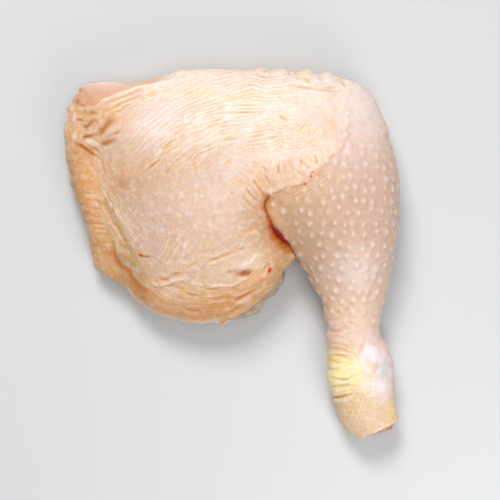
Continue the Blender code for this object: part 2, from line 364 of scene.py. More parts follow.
def wrinkles(corners, reach, long, fine, high, seed, across=False, ends=0.2, shading_paint=0.5):
    """Many small wrinkles that follow a route, or run across it, over a strip of skin.
    Their valleys are painted darker as shade and their crests lighter as highlights.
    """
    where, off, side, along, total = beside(corners, reach, 2.0)
    off = off * side
    flow = np.stack([off, along] if across else [along, off], 1)
    flow[:, 1] += fine * noise(flow, 5 * fine, seed + 1)
    combed = np.cos(math.pi * flow[:, 1] / fine + 2.6 * noise(flow, (long, 4.0 * fine), seed + 4))
    wave = 1 - 2 * np.abs(noise(flow, (long, fine), seed)) ** 0.7
    wave = 0.7 * combed * (0.75 + 0.4 * noise(flow, (1.3 * long, 4.0 * fine), seed + 2)) + 0.3 * wave
    cover = taper(along, total, ends) * fade(reach - np.abs(off), 0.0, 0.4 * reach) * upward[where]
    cover *= np.clip(0.8 + 0.5 * noise(plan[where], 9.0, seed + 3), 0.0, 1.0)
    lift[where] -= cover * high * wave
    # Painted shade in the valleys, painted highlight on the crests.
    mark("line", where, shading_paint * cover * np.clip(wave, 0, 1) ** 1.5)
    mark("highlight_and_pale", where, 0.8 * shading_paint * cover * np.clip(-wave, 0, 1))
    cover *= min(1.0, 1.7 * shading_paint)
    strongest = cover > line_cover[where, 0]
    chosen = where[strongest]
    line_cover[chosen, 0] = cover[strongest]
    strip_number = np.full(len(flow), 7.3 * seed)
    strip = np.column_stack([3 * flow[:, 0] / long, flow[:, 1] / LINE_GAP, strip_number])
    line_flow[chosen] = strip[strongest]


def ridge(corners, wide, high, highlight_paint=0.7, ends=0.3):
    """A raised fold of skin, painted lighter along its back as a highlight."""
    where, off, side, along, total = beside(corners, 3 * wide)
    off = np.abs(off * side + 0.4 * wide * noise(plan[where], 2.8, 905))
    stroke = taper(along, total, ends) * upward[where]
    stroke *= np.clip(0.85 + 0.4 * noise(plan[where], 3.0, 907), 0.0, 1.0)
    lift[where] += stroke * high * bell(off, wide)
    mark("highlight_and_pale", where, highlight_paint * stroke * bell(off, 0.8 * wide))


def inside(corners, soft):
    """How far inside a closed outline each point lies as seen from above: 0 outside, 1 within."""
    line = smooth_route([*corners, corners[0]], 3.0)
    start, run = line[:-1], np.diff(line, axis=0)
    odd = np.zeros(len(plan), bool)
    gap = np.full(len(plan), 1e9)
    for (x0, y0), (dx, dy) in zip(start, run):
        x, y = plan[:, 0] - x0, plan[:, 1] - y0
        if dy:
            odd ^= ((y < 0) != (y < dy)) & (x < dx * y / dy)
        t = np.clip((x * dx + y * dy) / (dx * dx + dy * dy), 0.0, 1.0)
        gap = np.minimum(gap, np.hypot(x - t * dx, y - t * dy))
    return fade(np.where(odd, gap, -gap), -soft, soft)


ROUND_THIGH = [
    (-46.1, 22.8), (-41.2, 33.5), (-33.6, 45.0), (-22.0, 54.4), (-7.3, 61.1), (10.5, 65.1), (30.5, 66.4),
    (53.6, 64.6),
]
wrinkles(ROUND_THIGH, 26.0, 12.0, 1.15, 0.13, 11, ends=0.3, shading_paint=0.5)
wrinkles(
    [(-38.0, 33.5), (-31.4, 43.3), (-21.1, 50.8), (-7.3, 55.7), (8.2, 58.4), (21.6, 58.8)],
    13.0, 8.0, 1.5, 0.15, 21, shading_paint=0.6,
)
wrinkles(
    [
        (2.9, 23.7), (6.5, 30.8), (10.9, 35.7), (16.2, 37.5), (22.5, 37.0), (28.7, 37.9), (34.0, 40.1),
        (38.5, 44.1), (43.8, 49.0),
    ],
    7.5, 3.0, 1.7, 0.26, 41, across=True,
)
wrinkles(
    [(11.8, 47.7), (19.8, 49.0), (28.7, 51.3), (37.6, 55.7), (43.8, 61.1)],
    9.0, 2.6, 1.9, 0.14, 45, shading_paint=0.4,
)
wrinkles([(-11.8, 34.4), (-14.0, 21.4), (-18.5, 8.1), (-26.5, -6.6)], 19.0, 7.0, 1.25, 0.09, 61, shading_paint=0.35)
for route, wide, deep in (
    ([(-31.8, 45.9), (-29.1, 47.9), (-26.5, 49.7), (-22.9, 51.5), (-18.9, 53.9)], 0.45, 0.25),
    ([(-26.9, 54.4), (-23.8, 56.2), (-20.2, 57.5), (-15.8, 58.8)], 0.45, 0.2),
    ([(-13.1, 54.8), (-8.7, 56.4), (-4.2, 57.5), (2.0, 58.8)], 0.45, 0.2),
    ([(-11.3, 61.5), (-7.8, 61.9), (-2.4, 62.4), (3.8, 62.6), (10.9, 62.6), (17.6, 62.8)], 0.4, 0.16),
    ([(-15.8, 45.0), (-11.3, 47.3), (-4.2, 49.9), (3.8, 52.2)], 0.45, 0.2),
    ([(22.9, 75.3), (28.7, 74.4), (35.8, 73.3), (42.1, 72.4), (51.0, 72.0)], 0.55, 0.45),
    ([(31.4, 77.5), (33.2, 77.1), (35.8, 76.2)], 0.75, 0.55),
    ([(28.7, 74.4), (32.3, 73.7), (36.3, 73.3)], 0.5, 0.35),
    ([(39.8, 73.8), (42.9, 73.7), (46.7, 73.8)], 0.5, 0.5),
    ([(21.1, 62.2), (22.9, 60.4), (26.0, 58.6)], 0.55, 0.3),
    ([(2.0, 66.4), (5.1, 66.2), (8.2, 66.4)], 0.4, 0.18),
    ([(-2.9, 39.7), (-1.1, 41.0), (0.7, 41.9)], 0.7, 0.2),
    ([(-17.1, 41.5), (-16.2, 37.9), (-16.5, 33.5)], 0.8, 0.15),
    ([(-30.5, 37.5), (-29.1, 36.4), (-26.9, 37.0)], 1.0, 0.2),
    ([(-5.6, 36.1), (-5.1, 33.5), (-6.0, 30.8)], 0.7, 0.15),
):
    shaded_crease(route, wide, deep, shading_paint=0.55)
shaded_crease([(-39.2, 35.0), (-36.7, 37.9), (-34.5, 39.7), (-30.9, 42.4)], 0.5, 0.6, shading_paint=1.0)
ridge([(-34.9, 41.9), (-32.7, 44.4), (-30.0, 46.4)], 0.7, 0.4)

# Pleats of loose skin stand along the far edge, parted by short furrows.
for x, y in ((17.22, 81.08), (28.48, 80.41), (38.67, 79.66), (49.17, 77.52)):
    shaded_crease([(x, y + 0.89), (x + 0.67, y - 1.78), (x + 2.22, y - 4.0)], 0.8, 0.7, shading_paint=0.4, ends=0.5)

# The skin is painted palest along the far edge and on the muscle's crown: partly the pale fat under it,
# partly painted light where the far lamp falls strongest.
PALE_FAT = [
    (-58.5, 86.0), (75.0, 86.0), (75.0, 72.6), (62.5, 59.3), (48.3, 45.9), (30.5, 36.1), (13.6, 28.1),
    (2.0, 28.1), (-11.8, 37.0), (-25.1, 50.4), (-40.7, 62.8),
]
mark("cream", slice(None), 0.9 * inside(PALE_FAT, 13.0) * upward)
for patch in (
    ("cream", (-11.8, 21.4), 24.0, 0.45), ("cream", (-8.7, 73.5), 28.0, 0.6, 0.4, 0),
    ("warm", (39.4, 53.0), 12.0, 0.2), ("cream", (3.8, -3.9), 14.0, 0.35, 0.5, 20),
    ("warm", (-46.1, 33.5), 11.0, 0.35, 0.8, 60),
):
    spot(*patch)

# Fat shows yellow through the thin skin in a few places.
for centre, size, amount, flat, turn in (
    ((-34.9, 70.8), 1.9, 0.8, 0.45, 20), ((-29.6, 72.2), 1.6, 0.8, 0.4, 5),
    ((-16.2, 71.3), 8.0, 0.35, 0.3, 0),
    ((22.0, 60.2), 1.6, 0.6, 0.6, -60), ((25.6, 58.4), 1.7, 0.5, 0.5, -20), ((5.1, 69.5), 9.0, 0.25, 0.4, 0),
    ((-2.0, 40.6), 1.6, 0.7, 0.6, 30), ((-15.8, 37.9), 2.0, 0.6, 0.8, 90),
    ((-20.4, -16.1), 2.2, 0.6, 0.6, 10),
    ((-28.8, 2.8), 1.2, 0.4, 1, 0), ((33.2, 77.1), 2.2, 0.5, 0.4, -20), ((-24.0, 15.5), 1.2, 0.4, 1, 0),
):
    spot("fat", centre, size, amount, flat, turn)

# ---------------------------------------------------------------------------------------------------
# At the hip the skin was cut away from the back.  Its edge has curled, and the smooth membrane over
# the meat shows beyond it, with a puckered corner beside it.
HIP_EDGE = [
    (-69.0, 68.6), (-68.3, 66.4), (-66.3, 64.9), (-63.6, 65.4), (-60.4, 66.0), (-58.1, 68.4), (-54.1, 70.0),
    (-50.1, 71.5), (-42.9, 73.9), (-37.2, 75.3), (-32.3, 76.5), (-25.1, 78.1), (-20.2, 79.1), (-14.0, 80.2),
]
MEMBRANE_FAR_SIDE = [
    (-70.1, 66.4), (-71.9, 75.3), (-58.5, 79.7), (-36.3, 81.5), (-24.7, 85.1), (-16.2, 81.5),
]
PUCKERED = [
    (-73.6, 66.4), (-65.6, 64.6), (-59.4, 65.1), (-56.7, 59.3), (-56.7, 52.2), (-59.4, 46.8), (-65.6, 48.6),
    (-73.6, 51.3),
]
HIP_ROLL = 0.55

where, off, side, along, total = beside(HIP_EDGE, 14.0, 0.4)
rim = fade(along, 0.0, 9.0) * fade(total - along, 0.0, 34.0) * upward[where]
bare = fade(off * side, -0.3, 0.3)
lift[where] += rim * HIP_ROLL * (1 - bare) * bell(off - 0.8, 1.6)
lift[where] -= rim * 0.7 * bare * bell(off, 2.5)
# Painted highlight along the curled roll, and painted shade on the bare side just beyond it.
glint = rim * (1 - bare) * bell(off - 0.9, 0.7)
mark("highlight_and_pale", where, 0.6 * glint * (0.7 + 0.5 * noise(plan[where], 3.0, 75)))
mark("shaded_crease", where, 0.6 * rim * bare * bell(off, 0.9))
membrane = inside([*MEMBRANE_FAR_SIDE, *HIP_EDGE[-2:1:-1]], 0.8)
mark("raw", slice(None), membrane * fade(rest[:, 2], 0.0, 6.0) * fade(-plan[:, 0], 23.0, 37.0))
for patch in (
    ("brown_stain_and_shadow", (-68.5, 67.5), 1.7, 0.8, 0.5, 80), ("brown_stain_and_shadow", (-66.5, 65.7), 1.7, 0.5, 0.5, -20),
    ("pale", (-53.2, 74.8), 15.0, 0.5, 0.16, 3), ("warm", (-64.7, 67.7), 5.0, 0.6, 0.6, 0),
    ("warm", (-54.1, 61.9), 8.0, 0.65, 0.6, 35),
):
    spot(*patch)
# Orange strokes along the pucker's valleys: partly the skin's own orange, partly painted shade.
for route, wide, shading_paint in (
    ([(-60.3, 52.2), (-57.2, 55.3), (-54.1, 58.8), (-51.8, 60.6)], 1.5, 0.5),
    ([(-59.1, 49.0), (-55.4, 49.3), (-50.5, 51.3)], 1.3, 0.35),
    ([(-67.4, 51.7), (-63.9, 51.9), (-60.7, 52.6)], 0.9, 0.8),
    ([(-69.2, 58.8), (-67.4, 59.5), (-65.6, 58.8)], 0.7, 0.5),
    ([(-67.0, 57.0), (-64.7, 56.2), (-63.0, 57.9), (-61.2, 59.7)], 0.7, 0.6),
    ([(-66.1, 62.8), (-63.0, 62.4), (-59.9, 62.8)], 0.9, 0.3),
    ([(-71.0, 49.0), (-67.2, 47.8), (-63.6, 45.3), (-59.5, 42.5)], 1.2, 0.6),
    ([(-66.1, 48.1), (-62.5, 46.4), (-59.4, 45.0)], 1.4, 0.3),
    ([(-59.0, 49.0), (-56.3, 48.6), (-53.2, 49.9)], 1.0, 0.4),
):
    where, off, side, along, total = beside(route, 4.0)
    mark("amber", where, 1.4 * shading_paint * taper(along, total, 0.3) * bell(off, wide))
spot("warm", (-53.2, 54.4), 5.5, 0.6, 0.5, 35)
spot("amber", (-48.7, 30.8), 2.6, 0.35)
ridge(
    [(-69.3, 69.5), (-69.2, 72.2), (-67.9, 74.2), (-63.9, 75.1), (-55.8, 75.7), (-46.9, 75.7)],
    0.8, 0.35, highlight_paint=0.8,
)
wrinkles([(-58.5, 70.8), (-48.7, 72.6), (-38.0, 74.8), (-28.3, 77.5)], 5.0, 9.0, 1.3, 0.09, 71, shading_paint=0.3)
wrinkles(
    [(-63.9, 60.2), (-56.7, 65.1), (-48.7, 67.7), (-39.8, 70.4), (-29.1, 72.6)], 6.0, 9.0, 1.7, 0.20, 73,
)
for route, wide, deep in (
    ([(-58.1, 65.3), (-54.1, 67.5), (-49.6, 69.3), (-42.9, 71.7), (-36.3, 73.7)], 0.6, 0.4),
    ([(-57.2, 62.4), (-53.2, 64.8), (-48.7, 67.3), (-43.4, 69.5), (-37.6, 71.5)], 0.6, 0.4),
    ([(-51.4, 62.8), (-47.8, 65.3), (-43.8, 67.3)], 0.5, 0.3),
    ([(-60.3, 51.7), (-58.1, 53.5), (-56.3, 55.9), (-54.1, 58.4), (-51.8, 60.4)], 1.0, 0.3),
    ([(-59.4, 49.0), (-56.7, 49.0), (-53.6, 49.9), (-50.5, 51.3)], 0.9, 0.25),
    ([(-55.4, 51.7), (-52.7, 52.8), (-49.2, 54.8)], 0.6, 0.3),
    ([(-67.4, 51.7), (-65.2, 52.4), (-63.0, 52.2), (-60.7, 52.6)], 0.6, 0.55),
    (
        [
            (-73.6, 50.8), (-70.5, 49.5), (-67.2, 47.8), (-63.6, 45.3), (-59.5, 42.5), (-57.6, 39.7),
            (-56.7, 36.1), (-55.4, 32.6),
        ],
        0.6, 0.55,
    ),
    ([(-65.6, 49.5), (-63.0, 47.3), (-60.3, 45.5), (-58.5, 43.3)], 0.6, 0.5),
    ([(-70.1, 59.3), (-68.3, 59.7), (-67.0, 58.8), (-65.6, 59.3)], 0.5, 0.25),
    ([(-68.8, 57.0), (-67.0, 57.3), (-65.6, 56.2), (-63.9, 55.9)], 0.5, 0.3),
    ([(-65.2, 58.4), (-63.9, 59.1), (-62.1, 58.6), (-60.7, 60.2)], 0.5, 0.3),
    ([(-64.7, 49.5), (-62.5, 50.8), (-59.9, 49.9), (-58.1, 47.7)], 0.5, 0.4),
    ([(-63.9, 61.9), (-61.6, 62.4), (-59.9, 61.7)], 0.6, 0.4),
):
    shaded_crease(route, wide, deep, shading_paint=0.9)
ridge([(-59.0, 50.6), (-56.7, 52.4), (-54.1, 54.4), (-51.4, 55.9), (-48.7, 57.0)], 1.6, 0.9, highlight_paint=0.25)
pucker = inside(PUCKERED, 1.5)
knots = noise(rest, 2.0, 81)
lift += pucker * upward * (0.25 * knots - 0.2 * np.clip(1 - 4 * np.abs(noise(rest, 3.6, 87)), 0, 1))
# The hollows between the knots are painted darker as shade and their tops lighter as highlights.
mark("shaded_crease", slice(None), 0.5 * pucker * upward * np.clip(-knots * 1.6 - 0.2, 0, 1))
mark("highlight_and_pale", slice(None), 0.7 * pucker * upward * np.clip(knots * 1.6 - 0.3, 0, 1))
mark("warm", slice(None), 0.75 * pucker * upward * (0.75 + 0.4 * noise(rest, 2.6, 83)))
mark("cream", slice(None), 0.35 * pucker * upward * np.clip(0.3 + noise(rest, 3.4, 89), 0.0, 1.0))

# ---------------------------------------------------------------------------------------------------
# Down the hip side runs a band of thicker, tanner skin with ridges across it.  Two long furrows part
# it from the thigh, where the skin sinks in beside the muscle.
BAND = [(-71.0, 49.5), (-69.2, 37.0), (-66.5, 25.5), (-63.0, 12.1), (-59.9, 1.4), (-55.8, -6.6)]

wrinkles(BAND, 8.0, 3.6, 2.3, 0.2, 91, across=True, ends=0.08, shading_paint=0.25)
where, off, side, along, total = beside(BAND, 11.0, 2.0)
hip_band = taper(along, total, 0.15) * fade(11.0 - off, 0.0, 6.0)
mark("warm", where, 1.1 * hip_band)
mark("amber", where, 0.24 * hip_band * np.clip(0.2 + noise(plan[where], 5.0, 97), 0.0, 1.0))
for y in (26.79, 23.67, 20.11, 16.55, 13.22, 10.99, 8.54, 4.98):
    x = -58.98 - 0.3 * y
    shaded_crease([(x, y + 0.44), (x + 3.56, y - 0.27), (x + 7.57, y - 0.44)], 0.5, 0.32, shading_paint=0.6)
shaded_crease(
    [(-59.9, 23.7), (-56.3, 21.4), (-54.1, 17.0), (-51.0, 11.2), (-48.7, 5.9), (-46.1, 0.5), (-43.8, -3.9)],
    1.5, 0.6, shading_paint=0.45,
)
for name, route, wide, amount in (
    ("olive", [(-59.0, 26.3), (-56.3, 21.0), (-54.1, 14.8), (-52.3, 8.5), (-50.5, 3.2)], 3.6, 1.4),
    ("tan", [(-58.1, 25.0), (-55.8, 19.2), (-53.6, 13.4), (-51.8, 7.7)], 2.6, 1.1),
    ("olive", [(-50.5, 7.7), (-46.9, 0.5), (-43.4, -6.6), (-38.0, -13.7)], 4.0, 0.8),
    ("warm", [(-55.0, 6.8), (-52.3, 0.5), (-48.7, -5.7), (-44.3, -11.5), (-38.0, -17.3)], 4.5, 1.2),
    (
        "amber",
        [(-54.1, 3.2), (-51.8, -1.7), (-48.3, -6.6), (-43.8, -11.9), (-39.4, -17.3), (-35.4, -20.4)],
        2.2, 0.55,
    ),
    ("red", [(-54.5, 2.8), (-52.3, -1.2), (-49.6, -5.7)], 1.6, 0.16),
):
    where, off, side, along, total = beside(route, 3 * wide)
    mark(name, where, amount * taper(along, total, 0.2) * bell(off, wide) * upward[where])
spot("amber", (-40.7, -17.7), 7.0, 0.4, 0.4, -38)
spot("warm", (-40.3, -19.5), 8.0, 0.9, 0.4, -38)
shaded_crease(
    [
        (-55.8, 9.0), (-53.2, 4.5), (-52.7, 1.4), (-51.8, -1.7), (-49.6, -5.7), (-46.1, -7.9),
        (-44.7, -11.0), (-40.7, -15.5), (-37.2, -17.3), (-34.9, -19.0), (-33.2, -21.7),
    ],
    0.9, 0.42, shading_paint=1.0, ends=0.2,
)
wrinkles(
    [(-59.9, 33.5), (-54.1, 22.3), (-47.8, 12.1), (-42.9, 3.2), (-39.4, -3.9)],
    9.0, 11.0, 1.3, 0.11, 95, shading_paint=0.35,
)
for route in (
    [(-58.5, 30.3), (-55.8, 25.5), (-52.7, 20.6), (-50.1, 16.6), (-46.9, 12.1)],
    [(-53.2, 25.0), (-50.1, 19.2), (-46.9, 14.3), (-43.8, 9.4)],
    [(-50.5, 18.3), (-47.8, 13.9), (-44.7, 9.4), (-42.5, 5.9)], [(-54.1, 14.8), (-50.5, 8.5), (-46.9, 2.8)],
):
    ridge(route, 0.5, 0.18, highlight_paint=0.6)
spot("warm", (-48.7, -5.7), 5.0, 0.7, 0.5, -42)
spot("red", (-53.6, 0.1), 1.0, 0.35)

# ---------------------------------------------------------------------------------------------------
# Low on the thigh the skin hangs in soft crescents above its edge, where a thin pale rim of fat and
# membrane shows from under it.
wrinkles(
    [
        (-40.7, -7.5), (-32.7, -15.0), (-22.9, -20.4), (-11.8, -22.2), (1.6, -19.9), (13.6, -13.7),
        (21.6, -4.8),
    ],
    9.0, 8.0, 1.8, 0.2, 101, shading_paint=0.38,
)
wrinkles(
    [(-24.7, -10.1), (-14.0, -4.8), (-2.4, -0.4), (7.3, 5.4), (13.6, 13.0)],
    8.0, 6.0, 2.0, 0.2, 105, shading_paint=0.3,
)
wrinkles([(-41.2, -2.1), (-38.0, -3.0), (-34.5, -4.8), (-32.7, -7.5)], 5.5, 5.0, 1.1, 0.17, 107, shading_paint=0.35)
wrinkles([(-23.8, 6.8), (-26.5, 0.5), (-29.6, -6.6)], 6.0, 9.0, 1.25, 0.26, 109, shading_paint=0.7)
wrinkles([(-15.8, 6.8), (-19.4, 0.5), (-22.5, -5.7)], 5.0, 9.0, 1.25, 0.24, 111, shading_paint=0.7)
for route, wide, deep, shading_paint in (
    (
        [(-36.3, -10.6), (-32.7, -11.5), (-29.1, -11.9), (-26.5, -9.9), (-22.9, -9.3), (-18.9, -8.6)],
        0.8, 0.5, 0.6,
    ),
    ([(-31.8, -14.2), (-29.1, -14.8), (-26.0, -14.4)], 0.6, 0.4, 0.6),
    ([(-20.7, -7.0), (-17.6, -5.5), (-14.5, -4.1)], 0.6, 0.5, 0.7),
    ([(-14.0, -4.6), (-9.6, -3.7), (-4.2, -1.7), (0.2, 0.1), (4.7, 1.9)], 0.6, 0.5, 0.7),
    ([(0.2, 3.6), (2.0, 2.1), (4.2, 1.4), (6.9, 2.8)], 0.7, 0.4, 0.5),
    ([(-22.0, -17.9), (-18.5, -18.6), (-13.6, -19.0)], 0.55, 0.5, 0.7),
    ([(-12.7, -16.2), (-9.6, -16.4), (-5.6, -15.5)], 0.55, 0.5, 0.7),
    ([(-21.6, -24.8), (-17.6, -25.5), (-13.1, -25.7)], 0.7, 0.5, 0.7),
    ([(-0.2, -21.3), (3.8, -20.2), (8.2, -17.7), (10.9, -15.5)], 0.8, 0.85, 1.3),
    ([(-4.2, -27.1), (-0.7, -26.2), (3.3, -24.6), (7.3, -22.2)], 0.8, 0.7, 1.2),
    ([(2.0, -23.9), (5.6, -21.9), (9.6, -19.0)], 0.6, 0.5, 1.0),
    ([(3.8, -17.3), (6.9, -16.4), (10.5, -14.2)], 0.5, 0.5, 1.0),
    ([(-11.3, -20.4), (-6.9, -20.6), (-1.6, -19.5)], 0.5, 0.35, 0.6),
    ([(-40.9, -0.8), (-39.4, -1.7), (-36.0, -1.7)], 0.55, 0.5, 0.9),
    ([(16.2, -3.9), (17.1, -6.6), (16.2, -9.7)], 0.6, 0.3, 0.5),
    ([(11.8, -11.0), (14.5, -8.4), (17.1, -3.9)], 0.6, 0.3, 0.4),
):
    shaded_crease(route, wide, deep, shading_paint)
for route, wide, high in (
    (
        [
            (-37.2, -12.4), (-34.9, -13.5), (-32.3, -14.2), (-29.6, -13.5), (-26.5, -12.6), (-22.9, -11.9),
            (-18.0, -11.0),
        ],
        0.8, 0.7,
    ),
    (
        [
            (-13.1, -11.5), (-11.3, -13.7), (-9.1, -14.5), (-4.7, -14.6), (-0.2, -14.2), (3.8, -12.4),
            (7.3, -10.8),
        ],
        0.7, 0.6,
    ),
    ([(-19.4, -13.3), (-15.8, -13.9), (-12.2, -14.6)], 0.6, 0.3),
    ([(2.9, -23.1), (6.5, -21.3), (10.0, -19.0)], 0.8, 0.5),
    ([(13.6, 0.5), (10.0, -2.1), (6.5, -4.8), (2.0, -6.6)], 0.9, 0.4),
    ([(16.2, -12.4), (13.6, -15.5), (10.0, -18.6)], 0.9, 0.4),
):
    ridge(route, wide, high)
shaded_crease([(-4.2, -9.3), (0.2, -9.0), (4.7, -8.8), (8.2, -8.8)], 1.0, 0.6, shading_paint=0.3)
for patch in (
    ("mauve", (-0.2, -9.3), 5.0, 0.8, 0.25, 2), ("tan", (1.1, -9.3), 4.5, 0.9, 0.28, 2),
    ("amber", (6.0, -8.9), 2.9, 1.6, 0.38, 14), ("brown_stain_and_shadow", (6.0, -8.9), 2.2, 0.7, 0.4, 14),
    ("red", (17.0, -7.8), 0.95, 3.0, 0.6, 60), ("red", (-40.4, -1.0), 0.7, 1.5),
    ("brown_stain_and_shadow", (-38.0, -1.6), 1.7, 0.7, 0.35, 0), ("red", (0.2, 27.0), 0.55, 0.75),
    ("mauve", (-30.9, 9.4), 12.0, 0.9, 0.7, 90), ("mauve", (-11.8, 37.9), 16.0, 0.6, 0.6, 30),
    ("mauve", (-16.2, 18.3), 26.0, 0.55, 0.8, 0), ("mauve", (-35.4, 49.5), 12.0, 0.5, 0.6, 40),
    ("pink", (-18.5, 60.2), 16.0, 0.35, 0.6, 30), ("pink", (43.8, 54.8), 12.0, 0.25, 0.6, -50),
    # The white patch at (-36.3, 57.0) is a painted highlight.
    ("pink", (-40.7, 60.2), 10.0, 0.3, 0.6, 30), ("white", (-36.3, 57.0), 14.0, 0.5, 0.6, 30),
    ("tan", (-40.7, 29.0), 14.0, 0.4, 0.6, 60), ("tan", (-15.8, 41.5), 24.0, 0.45, 0.5, 25),
    ("tan", (-14.0, 12.5), 30.0, 0.25), ("tan", (-69.2, 41.5), 12.0, 0.6, 0.45, 78),
    ("warm", (-71.4, 44.6), 9.0, 0.9, 0.5, 80), ("amber", (-70.5, 41.9), 6.0, 0.25, 0.6, 80),
    # Two small painted highlights.
    ("highlight_and_pale", (-27.8, -17.7), 3.6, 0.6, 0.7, -30), ("highlight_and_pale", (-30.9, 10.3), 1.0, 0.6),
    ("warm", (-12.7, -25.7), 26.0, 1.5, 0.26, 2), ("amber", (-12.7, -26.2), 26.0, 0.22, 0.24, 2),
    ("warm", (-32.7, -20.8), 13.0, 0.9, 0.4, -25), ("warm", (8.2, -19.0), 12.0, 1.2, 0.4, 35),
    ("warm", (16.7, -8.4), 10.0, 0.8, 0.5, 60), ("warm", (-46.5, -13.7), 13.0, 1.1, 0.35, -38),
    ("olive", (-48.7, 3.2), 10.0, 0.6, 0.5, -55), ("olive", (2.0, 5.9), 13.0, 0.2, 0.6, 20),
    ("tan", (-4.2, 3.2), 14.0, 0.25, 0.6, 20), ("tan", (-23.8, 12.1), 9.0, 0.4),
    ("warm", (2.4, -18.2), 10.0, 1.0, 0.45, 25), ("amber", (2.9, -18.6), 10.0, 0.26, 0.45, 25),
    ("pale", (-22.0, -22.2), 8.0, 0.35, 0.5, 0),
):
    spot(*patch)
RIM = [(24.3, -5.7), (21.1, -12.4), (18.0, -16.4), (13.6, -20.4), (10.0, -23.1), (6.5, -25.7), (2.0, -28.4)]
where, off, side, along, total = beside(RIM, 5.0, 0.5)
edge = fade(off * side, -0.4, 0.4) * taper(along, total, 0.12)
mark("grey", where, 0.5 * edge * bell(off, 2.0))
lift[where] -= 0.8 * edge * bell(off - 0.8, 1.2)
where, off, side, along, total = beside(
    [
        (-53.2, -12.4), (-46.1, -16.4), (-40.7, -21.7), (-33.6, -26.4), (-22.9, -29.5), (-13.1, -30.4),
        (-2.4, -29.5),
    ],
    3.0,
)
# The raised roll along the lower edge is painted paler on top: partly its pale fat, partly painted
# highlight.
mark("highlight_and_pale", where, 0.7 * taper(along, total, 0.1) * bell(off, 0.9) * fade(out[where, 2], -0.1, 0.3))
lift[where] += 0.35 * taper(along, total, 0.1) * bell(off, 1.0)

# ---------------------------------------------------------------------------------------------------
# The drumstick's skin is thin, with pink meat showing through, and every feather has left a raised pit,
# in staggered rows round the leg, with a painted highlight on top and a painted ring of shade round it.
# It is finely gathered where the thigh's skin pulls it.
LIMB_SPINE = [
    (53.6, 86.0), (52.7, 45.9), (48.3, 23.7), (50.1, 1.4), (54.1, -20.8), (54.1, -34.2), (57.2, -48.4),
    (59.9, -65.3), (62.5, -83.1),
]
LIMB_OUTLINE = [
    (14.9, 23.7), (19.4, 26.8), (29.1, 29.9), (34.0, 31.7), (36.3, 35.7), (42.9, 41.5), (47.4, 46.4),
    (50.5, 52.2), (51.4, 60.6), (53.6, 69.1), (58.1, 77.1), (83.9, 77.1), (88.3, -20.8), (83.9, -92.0),
    (39.4, -92.0), (37.6, -38.6), (30.5, -11.9), (28.3, -1.7), (24.9, 4.0), (19.4, 10.3), (15.6, 17.9),
]
PIT_ROW = 4.9
PIT_GAP = 5.3
PIT_SIZE = 1.0
PIT_HIGH = 0.5

limb = inside(LIMB_OUTLINE, 0.5)
spine = smooth_route(LIMB_SPINE, 1.0)
spine_x = np.interp(-rest[:, 1], -spine[:, 1], spine[:, 0])
spine_z = np.interp(rest[:, 1], (-80.0, -45.0, -20.0, 30.0, 60.0), (10.0, 12.0, 15.5, 20.0, 18.0))
turn_round = np.arctan2(rest[:, 0] - spine_x, rest[:, 2] - spine_z)
stout = np.hypot(rest[:, 0] - spine_x, rest[:, 2] - spine_z)
thin = limb * fade(plan[:, 1], -75.0, -20.0) * (1 - fade(plan[:, 1], 38.0, 72.0))
mark("pink", slice(None), thin * (0.9 + 0.1 * noise(rest, 7.0, 3)))
random = np.random.default_rng(7)
limb_points = np.flatnonzero(limb > 0.4)
for row, y in enumerate(np.arange(72.0, -40.0, -PIT_ROW)):
    band = limb_points[np.abs(rest[limb_points, 1] - y) < PIT_ROW]
    count = int(2 * math.pi * np.median(stout[band]) / PIT_GAP)
    for place in range(count):
        turn = 2 * math.pi * (place + 0.5 * (row % 2) + random.uniform(-0.28, 0.28)) / count - math.pi
        level = y + random.uniform(-0.3, 0.3) * PIT_ROW
        size = PIT_SIZE * random.uniform(0.8, 1.25)
        strength = random.uniform(0.65, 1.0) * fade(-level, -76.0, -20.0) * fade(level, -40.0, -24.0)
        swing = (turn_round[band] - turn + math.pi) % (2 * math.pi) - math.pi
        miss = np.hypot(swing * stout[band], rest[band, 1] - level)
        middle = rest[band[miss.argmin()]]
        near = band[np.abs(rest[band] - middle).max(1) < 4.0]
        far = np.linalg.norm((rest[near] - middle) * (1.0, 0.8, 1.0), axis=1)
        lift[near] += strength * PIT_HIGH * (bell(far, size) - 0.25 * bell(far - 2.2 * size, size))
        # Painted highlight on the pit's top and a painted ring of shade round it.
        mark("highlight_and_pale", near, 0.85 * strength * bell(far, 0.65 * size))
        mark("tan", near, 0.28 * strength * bell(far - 1.9 * size, 0.8 * size))
wrinkles([(23.4, 21.9), (30.5, 25.9), (39.4, 32.1), (47.4, 39.2)], 7.5, 7.0, 0.85, 0.17, 121, shading_paint=0.6)
# The tan patches on the middle of the drumstick, near (43, 10), are painted shade.
for patch in (
    ("red", (53.2, 24.6), 0.8, 0.5), ("pale", (54.5, -6.6), 16.0, 0.85, 0.8, 80),
    ("cream", (51.8, -3.9), 12.0, 0.35, 0.7, 80), ("warm", (42.1, -22.2), 9.0, 0.6, 0.5, -70),
    ("warm", (49.6, -23.5), 14.0, 0.45, 0.6, 0), ("mauve", (53.6, 45.9), 12.0, 0.8, 0.8, 80),
    ("white", (55.0, -6.6), 9.0, 0.25), ("tan", (42.1, 8.5), 18.0, 0.8),
    ("pale", (61.6, 61.9), 20.0, 0.7), ("white", (59.9, 59.7), 13.0, 0.2),
    ("tan", (45.2, 9.4), 14.0, 0.6), ("mauve", (59.9, 60.2), 18.0, 0.5, 0.7, -60),
    ("mauve", (58.1, 12.5), 26.0, 0.6, 0.6, 85), ("tan", (42.9, 12.1), 25.0, 0.8, 0.7, -60),
    ("pale", (52.7, -27.1), 17.0, 0.7), ("cream", (52.3, -32.0), 10.0, 0.5, 0.6, 0),
    ("olive", (22.5, 20.1), 11.0, 0.7, 0.6, -60), ("olive", (28.7, 4.1), 9.0, 0.4, 0.5, -60),
):
    spot(*patch)

